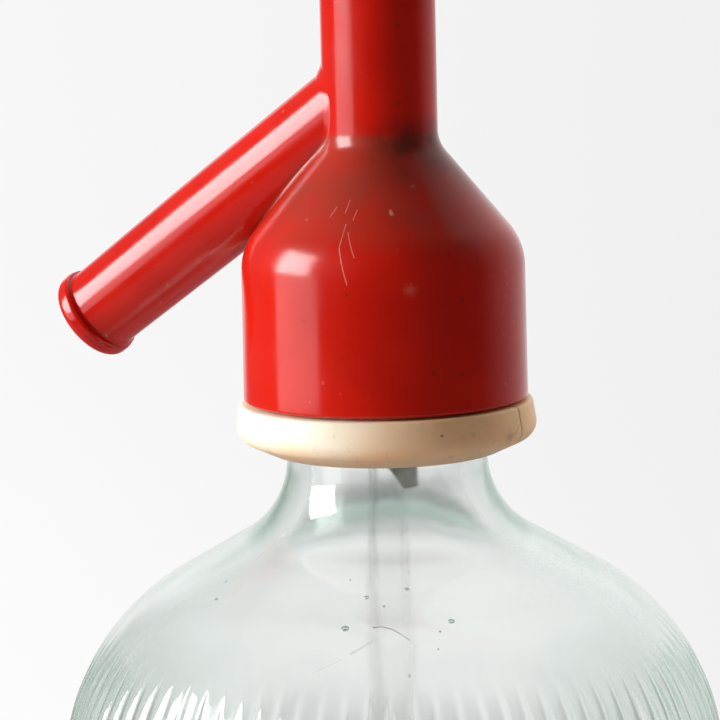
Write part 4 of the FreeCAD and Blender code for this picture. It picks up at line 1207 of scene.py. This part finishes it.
around_group = make_group("around the axis", around_axis, ["Place"], ["Radius"], [("Around", "Vector")])
scratch_group = make_group("straight scratch", straight_scratch, ["Around", "Start", "End"], ["Width"])
spot_group = make_group("spot", ragged_spot, ["Around", "Centre"], ["Size"])
print("mark groups:", around_group.name, scratch_group.name, spot_group.name)

# %% Specks, scuffs and rings
def scattered_specks(place, scale, share, size):
    """Small specks: one in some cells of a pattern. share is how many cells have one."""
    cells = put(place.socket.id_data, "ShaderNodeTexVoronoi", {"Vector": place, "Scale": scale})
    pick, other, _ = parts_of(Output(cells.outputs["Color"]), "Color")
    size = size * (other + 0.3)
    dot = stretch(Output(cells.outputs["Distance"]), size, size * 0.5)
    return [dot * calculate("LESS_THAN", pick, share)]


def fine_scuffs(place, scale, fineness):
    """Hair-fine scuffs in patches: the thin lines along which a soft noise has one value."""
    lines = []
    for stretched, level in (((1.0, 0.25, 0.6), 0.5), ((0.3, 1.0, 0.8), 0.46)):
        leaning = mapped(place, Scale=stretched, Rotation=(0.4, level, 0.7))
        off_line = calculate("ABSOLUTE", noise(leaning, scale, detail=1.0) - level)
        lines.append(stretch(off_line, fineness, 0.0))
    return [strongest(*lines) * stretch(noise(place, scale * 0.8, detail=2.0), 0.5, 0.62)]


def turned_rings(place, scale):
    """Fine turning rings: a noise over height and distance from the axis only."""
    line = wire("ShaderNodeCombineXYZ", {0: radius_of(place), 1: height_of(place)})
    return [noise(line, scale, detail=2.0)]


speck_group = make_group("specks", scattered_specks, ["Place"], ["Scale", "Share", "Size"])
scuff_group = make_group("fine scuffs", fine_scuffs, ["Place"], ["Scale", "Fineness"])
ring_group = make_group("turned rings", turned_rings, ["Place"], ["Scale"], [("Rings", "Float")])
print("effect groups:", [group.name for group in bpy.data.node_groups])

# %% Helpers for marks
HEAD_MAP = 20.0 * MM
GLASS_MAP = 36.0 * MM


def map_point(azimuth, above_rim, radius):
    """A point of the flat map, from degrees round the axis and mm above the rim."""
    return (math.radians(azimuth) * radius, RIM + above_rim * MM, 0.0)


def scratches(around, lines, radius=HEAD_MAP):
    """One mask for several scratches, each (azimuth, height, azimuth, height, width in mm)."""
    masks = []
    for line in lines:
        ends = {"Start": map_point(*line[0:2], radius), "End": map_point(*line[2:4], radius)}
        masks.append(use_group(scratch_group, Around=around, Width=line[4] * MM, **ends))
    return strongest(*masks)


def spot(around, azimuth, above_rim, size):
    centre = map_point(azimuth, above_rim, HEAD_MAP)
    return use_group(spot_group, Around=around, Centre=centre, Size=size * MM)


def specks(place, scale, share, size):
    return use_group(speck_group, Place=place, Scale=scale, Share=share, Size=size)


def scuffs(place, scale, fineness):
    return use_group(scuff_group, Place=place, Scale=scale, Fineness=fineness)


def band(height, low, full, keep, end):
    """A mask by height above the rim in mm: rises from low to full and falls from keep to end."""
    rise = stretch(height, RIM + low * MM, RIM + full * MM)
    return rise * stretch(height, RIM + end * MM, RIM + keep * MM)


print("mark helpers are ready")

# %% [markdown]
# ## Red moulded plastic
#
# The head is glossy through its own colour, with no paint on it. What makes it look used is what lies
# on it: a dull brown film of old dust on the sloping cone, a few pale scratches and nicks, and specks.
# Where the column starts, on the side away from the window, it is darker: painted shade, with some real
# grime in it. The film also takes the gloss away, so one mask drives both the colour and the roughness.
# The lever and the cap get the same plastic with their own film.

# %% Material helpers
def blend(factor, first, second):
    """Mixes two colours."""
    return wire("ShaderNodeMix", {0: factor, 6: first, 7: second}, 2, data_type="RGBA")


def bump(height, strength, distance):
    """A normal from a height, with the distance in mm."""
    return wire("ShaderNodeBump", {"Height": height, "Strength": strength, "Distance": distance * MM})


def new_material(name, colour, roughness):
    """A material with one Principled shader, and the place on the object for its patterns."""
    material = bpy.data.materials.new(name)
    material.use_nodes = True
    shader = material.node_tree.nodes["Principled BSDF"]
    fill(shader, {"Base Color": colour, "Roughness": roughness})
    material.diffuse_color = (*colour, 1.0)
    return material, shader, place_of(material.node_tree)


print("material helpers are ready")

# %% Red plastic
RED = (0.55, 0.0092, 0.0022)
RED_DEEP = (0.48, 0.0066, 0.0016)
DUST_FILM = (0.100, 0.052, 0.028)
# A dark brown for grime specks and dots, and for the painted shade where the column starts.
SHADE_AND_GRIME_COLOUR = (0.030, 0.014, 0.010)
SCRATCHED = (0.66, 0.27, 0.22)
NICKED = (0.68, 0.42, 0.33)
RED_GLOSS = 0.155
CONE_FALL = 1.203
CONE_TOP = (8.85, 39.5)
head_scratches = [
    (-82.46, 28.5, -83.33, 25.3, 0.12),
    (-83.33, 25.3, -79.3, 20.0, 0.14),
    (-80.57, 27.4, -76.6, 23.9, 0.11),
    (-91.85, 29.5, -89.9, 30.9, 0.12),
    (-84.25, 30.1, -83.1, 31.9, 0.13),
    (-79.3, 29.2, -78.1, 30.5, 0.13),
]


def under_cone(place):
    """A mask that is 1 on the bell and its cone and 0 out on the spout."""
    skin = RIM + (CONE_TOP[1] + CONE_FALL * CONE_TOP[0]) * MM
    return stretch(radius_of(place) * CONE_FALL + height_of(place), skin + 2.2 * MM, skin + 0.9 * MM)


def make_red(name, film_band, film_share, marks=False):
    """Red plastic. film_band is (low, full, keep, end) by height above the rim in mm."""
    material, shader, place = new_material(name, RED, RED_GLOSS)
    height = height_of(place)
    edge = noise(place, scale=75.0, detail=5.0, roughness=0.6)
    ragged = height + stretch(edge, 0.25, 0.75, -4.0 * MM, 4.0 * MM)
    patchy = stretch(noise(place, scale=120.0, detail=5.0, roughness=0.6), 0.25, 0.7, 0.55, 1.0)
    film = band(ragged, *film_band) * film_share * patchy
    if marks:
        film = film * under_cone(place)
    hairs = scuffs(place, scale=190.0, fineness=0.005)
    dark_specks = specks(mapped(place, Location=(0.3, 0.1, 0.2)), scale=330.0, share=0.12, size=0.13)
    colour = blend(stretch(noise(place, scale=55.0, detail=2.0), 0.35, 0.65), RED, RED_DEEP)
    colour = blend(film, colour, DUST_FILM)
    colour = blend(hairs * 0.02, colour, SCRATCHED)
    colour = blend(specks(place, scale=420.0, share=0.16, size=0.16) * 0.16, colour, SCRATCHED)
    colour = blend(dark_specks * 0.4, colour, SHADE_AND_GRIME_COLOUR)
    relief = hairs * 0.04
    if marks:
        around = use_group(around_group, Place=place, Radius=HEAD_MAP)
        right = dot_with(place, seen_from_front(1 / HEAD_MAP, 0, 0))
        # Painted shade: darker in the crease where the column starts, on the side away from the window,
        # with patchy real grime.
        crease_shade_and_grime = band(height, 30.0, 39.0, 41.0, 44.5) * stretch(right, -0.30, 0.30)
        crease_shade_and_grime = crease_shade_and_grime * stretch(noise(place, scale=260.0, detail=5.0, roughness=0.65), 0.3, 0.65, 0.35, 1.0)
        lines = scratches(around, head_scratches)
        nicks = strongest(
            spot(around, azimuth=-60.4, above_rim=30.05, size=0.55) * 0.42,
            spot(around, azimuth=-54.8, above_rim=19.1, size=1.3) * 0.10,
        )
        dots = strongest(
            spot(around, azimuth=-79.4, above_rim=18.5, size=0.2),
            spot(around, azimuth=-37.6, above_rim=23.8, size=0.26),
        )
        colour = blend(crease_shade_and_grime * 0.72, colour, SHADE_AND_GRIME_COLOUR)
        colour = blend(lines * 0.38, colour, SCRATCHED)
        colour = blend(nicks, colour, NICKED)
        colour = blend(dots, colour, SHADE_AND_GRIME_COLOUR)
        relief = strongest(relief, lines)
        film = strongest(film, crease_shade_and_grime * 0.25)
    uneven = stretch(noise(place, scale=90.0, detail=4.0), 0.3, 0.7, -0.03, 0.05)
    roughness = calculate("ADD", film * 0.12 + relief * 0.2 + RED_GLOSS, uneven, clamp=True)
    skin = bump(relief * -0.6 + noise(place, scale=140.0, detail=1.0) * 0.5, strength=0.25, distance=0.12)
    fill(shader, {"Base Color": colour, "Roughness": roughness, "Normal": skin})
    return material


red_of_head = make_red("red plastic of the head", (20.5, 33.0, 42.0, 46.0), film_share=0.47, marks=True)
red_of_lever = make_red("red plastic of the lever", (84.0, 90.0, 99.0, 100.0), film_share=0.10)
red_of_cap = make_red("red plastic of the cap", (94.5, 97.0, 99.0, 100.0), film_share=0.13)
print("red plastics:", red_of_head.name, "has", len(red_of_head.node_tree.nodes), "nodes")

# %% [markdown]
# ## Ivory plastic
#
# The collar was cream white and has yellowed unevenly. Its tan is also deeper on the side away from the
# window and on its underside, which is painted shade. Light goes a few millimetres into such plastic, so
# it has a little subsurface scattering, which also softens its shaded side.

# %% Ivory plastic
IVORY = (0.87, 0.765, 0.60)
TAN = (0.94, 0.55, 0.30)
BROWN = (0.22, 0.10, 0.045)
COLLAR_RADIUS = 23 * MM
collar_scratches = [
    (-4.2, -0.6, -4.6, -3.0, 0.16),
    (-4.6, -3.0, -8.6, -4.2, 0.16),
    (-8.6, -4.2, -15.0, -4.9, 0.14),
]


def make_ivory():
    material, shader, place = new_material("ivory plastic", IVORY, roughness=0.42)
    around = use_group(around_group, Place=place, Radius=HEAD_MAP)
    right = dot_with(place, seen_from_front(1 / COLLAR_RADIUS, 0, 0))
    cloudy = stretch(noise(place, scale=85.0, detail=4.0), 0.3, 0.7, -0.16, 0.16)
    low = stretch(height_of(place), RIM - 3.5 * MM, RIM - 7.5 * MM, 0.0, 0.75)
    # Painted shade: the tan deepens on the side away from the window and on the underside; the cloudy share
    # is real yellowing.
    yellowing_and_shade = calculate("ADD", stretch(right, -0.55, 0.30, 0.0, 0.95) + low, cloudy, clamp=True)
    dirt = stretch(noise(place, scale=700.0, detail=4.0, roughness=0.7), 0.55, 0.8, 0.0, 0.25)
    stains = strongest(
        spot(around, azimuth=-44.4, above_rim=-2.75, size=0.42),
        spot(around, azimuth=-12.0, above_rim=-4.5, size=1.3) * 0.35,
        scratches(around, collar_scratches) * 0.3,
    )
    colour = blend(yellowing_and_shade, IVORY, TAN)
    colour = blend(strongest(specks(place, scale=300.0, share=0.22, size=0.15) * 0.45, dirt), colour, BROWN)
    hairs = scuffs(place, scale=220.0, fineness=0.012)
    fill(shader, {
        "Base Color": blend(stains, colour, BROWN),
        "Roughness": hairs * 0.15 + stretch(cloudy, -0.1, 0.1, 0.36, 0.48),
        "Normal": bump(hairs * -0.12 + noise(place, scale=240.0) * 0.5, strength=0.35, distance=0.15),
        "Subsurface Weight": 0.35,
        "Subsurface Radius": (1.0, 0.6, 0.35),
        "Subsurface Scale": 5.0 * MM,
    })
    return material


ivory_plastic = make_ivory()
print("ivory plastic:", len(ivory_plastic.node_tree.nodes), "nodes")

# %% [markdown]
# ## Pale green glass
#
# The glass has no colour on its surface. Its tint is in its depth: a Volume Absorption takes a little
# red and blue from light for every millimetre, so thin parts look clear and the thick edges green.
# On the surface there are only dust, a hair and an old scratch. The inner wall is a trace rougher than
# the moulded outside, which softens what shows through it. A ray that has been turned back inside the
# wall several times isn't followed further: there the glass gives off a painted glow, the green of thick
# glass, instead of black.

# %% Glass
GLASS_DEPTH_COLOUR = (0.42, 0.80, 0.62)
GLASS_DENSITY = 10.0
# The painted glow given to rays that aren't followed further inside the wall.
GLASS_EDGE_GLOW = (0.24, 0.272, 0.255)
GLASS_DUST = (0.10, 0.09, 0.08)
BLACK = (0.0, 0.0, 0.0)
LAST_TURN = 3.5
NECK_FOOT = (196.0 * MM, 206.0 * MM)
hair_lines = [
    (-69.3, -28.35, -67.2, -28.25, 0.08), (-67.2, -28.25, -65.0, -28.5, 0.08),
    (-65.0, -28.5, -62.9, -29.05, 0.075), (-62.9, -29.05, -60.9, -29.8, 0.06),
]
glass_scratches = [(-81.0, -33.6, -75.5, -31.9, 0.06), (-73.6, -31.2, -69.3, -29.9, 0.22)]


def make_glass():
    material, shader, place = new_material("pale green glass", WHITE, roughness=0.0)
    tree = material.node_tree
    around = use_group(around_group, Place=place, Radius=GLASS_MAP)
    inner = Output(put(tree, "ShaderNodeAttribute", attribute_name="inner_skin").outputs["Fac"])
    outer = 1.0 - inner
    hair = scratches(around, hair_lines, GLASS_MAP) * outer
    scratched = scratches(around, glass_scratches, GLASS_MAP) * outer
    dark = strongest(hair, specks(place, scale=210.0, share=0.20, size=0.045))
    hazy = scuffs(place, scale=70.0, fineness=0.004) * 0.12
    rough = strongest(scratched * 0.5, hazy, dark * 0.5, inner * 0.18)
    at_neck = calculate("MULTIPLY", stretch(height_of(place), *NECK_FOOT), 2.0, clamp=True)
    waves = (noise(place, scale=85.0, detail=1.0) + noise(place, scale=150.0, detail=1.5) * at_neck) * outer
    turns = Output(put(tree, "ShaderNodeLightPath").outputs["Glossy Depth"])
    fill(shader, {
        "Base Color": blend(dark * 0.85, WHITE, GLASS_DUST),
        "Roughness": rough,
        "Normal": bump(waves, strength=0.8, distance=0.26),
        # A painted glow: rays that have turned back inside the wall more than three times get the green of
        # thick glass.
        "Emission Color": blend(calculate("GREATER_THAN", turns, LAST_TURN), BLACK, GLASS_EDGE_GLOW),
        "Emission Strength": 1.0,
        "Transmission Weight": 1.0,
        "IOR": 1.5,
    })
    depth = put(tree, "ShaderNodeVolumeAbsorption", {"Color": GLASS_DEPTH_COLOUR, "Density": GLASS_DENSITY})
    fill(tree.nodes["Material Output"], {"Volume": Output(depth.outputs[0])})
    return material


green_glass = make_glass()
print("glass:", len(green_glass.node_tree.nodes), "nodes")

# %% [markdown]
# ## The tube's clear plastic
#
# The dip tube is clear plastic, a little hazy and grey with age. Its greyness runs in long streaks up
# the tube, so the noise behind it is stretched along the axis. A grey band of painted shade runs down the
# tube's left edge as seen from the front, stronger higher up.

# %% Clear tube
TUBE_CLEAR = (0.99, 0.99, 0.985)
TUBE_AGED = (0.955, 0.955, 0.95)
TUBE_EDGE_SHADE = (0.42, 0.42, 0.40)


def make_tube():
    material, shader, place = new_material("clear tube", (0.86, 0.85, 0.88), roughness=0.1)
    greyness = stretch(noise(mapped(place, Scale=(1.0, 1.0, 0.15)), scale=300.0, detail=4.0), 0.3, 0.75)
    # Painted shade: a dark band along the tube's left edge as seen from the front, stronger higher up.
    side = dot_with(place, seen_from_front(-1 / (TUBE_RADIUS * MM), 0, 0))
    left_edge_shade = stretch(side, 0.58, 0.98) * stretch(greyness, 0.0, 1.0, 0.40, 0.80)
    left_edge_shade = left_edge_shade * stretch(height_of(place), 150.0 * MM, 205.0 * MM, 0.15, 1.0)
    fill(shader, {
        "Base Color": blend(left_edge_shade, blend(greyness, TUBE_CLEAR, TUBE_AGED), TUBE_EDGE_SHADE),
        "Roughness": stretch(noise(place, scale=260.0, detail=4.0), 0.3, 0.7, 0.02, 0.10),
        "Transmission Weight": 1.0,
        "IOR": 1.22,
    })
    return material


clear_tube = make_tube()
print("tube:", len(clear_tube.node_tree.nodes), "nodes")

# %% [markdown]
# ## Rubber, leather and metal
#
# Most of these pieces are inside the head and show from below, through the glass, or where the lever
# meets the turret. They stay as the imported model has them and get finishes: rubber with bloom, turned
# brass with fine rings, drawn steel, and greased leather.

# %% Rubber and leather
LEATHER = (0.36, 0.22, 0.12)
LEATHER_DARK = (0.20, 0.11, 0.055)


def make_rubber(name, dark, bloom, roughness):
    """Rubber with a patchy grey bloom."""
    material, shader, place = new_material(name, dark, roughness)
    patches = stretch(noise(place, scale=300.0, detail=5.0, roughness=0.65), 0.35, 0.75)
    fill(shader, {
        "Base Color": blend(
            specks(place, scale=600.0, share=0.3, size=0.2) * 0.4, blend(patches, dark, bloom), bloom
        ),
        "Roughness": stretch(patches, 0.0, 1.0, roughness - 0.1, roughness + 0.1),
        "Normal": bump(noise(place, scale=900.0, detail=4.0), strength=0.4, distance=0.1),
    })
    return material


def make_leather():
    material, shader, place = new_material("greased leather", LEATHER, roughness=0.5)
    tone = stretch(noise(place, scale=260.0, detail=4.0), 0.3, 0.7)
    grain = wire("ShaderNodeTexVoronoi", {"Vector": place, "Scale": 1400.0}, "Distance")
    fill(shader, {
        "Base Color": blend(tone, LEATHER, LEATHER_DARK),
        "Roughness": stretch(tone, 0.0, 1.0, 0.38, 0.62),
        "Normal": bump(grain, strength=0.5, distance=0.1),
    })
    return material


grey_rubber = make_rubber(
    "aged grey rubber", dark=(0.34, 0.34, 0.30), bloom=(0.62, 0.60, 0.54), roughness=0.72
)
black_rubber = make_rubber(
    "black rubber", dark=(0.045, 0.045, 0.045), bloom=(0.13, 0.13, 0.125), roughness=0.6
)
leather = make_leather()
print("rubber and leather are ready")

# %% Metals
def make_metal(name, clean, tarnished, roughness, tarnish_scale):
    """Turned metal, duller where it has tarnished."""
    material, shader, place = new_material(name, clean, roughness)
    rings = use_group(ring_group, Place=place, Scale=3500.0)
    tarnish = stretch(noise(place, tarnish_scale, detail=5.0, roughness=0.6), 0.42, 0.72)
    dull = tarnish * 0.22 + stretch(rings, 0.3, 0.7, roughness - 0.06, roughness + 0.08)
    fill(shader, {
        "Base Color": blend(tarnish, clean, tarnished),
        "Roughness": scuffs(place, scale=400.0, fineness=0.012) * 0.12 + dull,
        "Normal": bump(rings, strength=0.2, distance=0.03),
        "Metallic": 1.0,
    })
    return material


brass = make_metal(
    "turned brass", clean=(0.80, 0.59, 0.28), tarnished=(0.42, 0.27, 0.12),
    roughness=0.27, tarnish_scale=220.0,
)
spring_steel = make_metal(
    "drawn steel", clean=(0.62, 0.62, 0.63), tarnished=(0.34, 0.31, 0.28),
    roughness=0.30, tarnish_scale=350.0,
)
finishes = {
    "brass": brass, "spring_steel": spring_steel, "leather": leather, "black_rubber": black_rubber,
    "grey_rubber": grey_rubber, "ivory_plastic": ivory_plastic, "red_plastic": red_of_cap,
}
dressed = 0
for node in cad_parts.values():
    for material_slot in node.material_slots:
        finish = finishes.get(material_slot.material.name.split(".")[0])
        if finish:
            material_slot.material = finish
            dressed += 1
print("packed slots with new finishes:", dressed)

# %% [markdown]
# ## Finishing the pieces
#
# Each piece is smoothed by angle, so that real edges stay crisp, and gets its material. It is then
# tied to the body it moves with, and the imported nodes it stands for are hidden.

# %% Finish the pieces
def finish_piece(piece, body, nodes, material, sharp=35.0):
    """Shades a piece, gives it its material and body, and hides the nodes it stands for."""
    only(piece)
    bpy.ops.object.shade_smooth_by_angle(angle=math.radians(sharp))
    piece.data.materials.clear()
    piece.data.materials.append(material)
    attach(piece, body)
    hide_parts(*nodes)
    print(f"{piece.name}: {len(piece.data.polygons)} faces, stands for {', '.join(nodes)}")


bottle.name = "glass_bottle"
finish_piece(bottle, "siphon", ["bottle"], green_glass, sharp=60)
finish_piece(dip_tube, "siphon", ["dip_tube"], clear_tube)
finish_piece(tube_sleeve, "siphon", ["tube_sleeve"], grey_rubber)
finish_piece(collar_front, "siphon", ["collar_half_front"], ivory_plastic)
finish_piece(collar_rear, "siphon", ["collar_half_rear"], ivory_plastic)
finish_piece(head, "siphon", ["head_body"], red_of_head)
finish_piece(lever, "lever", ["lever"], red_of_lever)
finish_piece(valve_coil, "siphon", ["valve_spring"], spring_steel)
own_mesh(valve_coil)
finish_piece(top_cap, "siphon", ["top_cap"], red_of_cap)
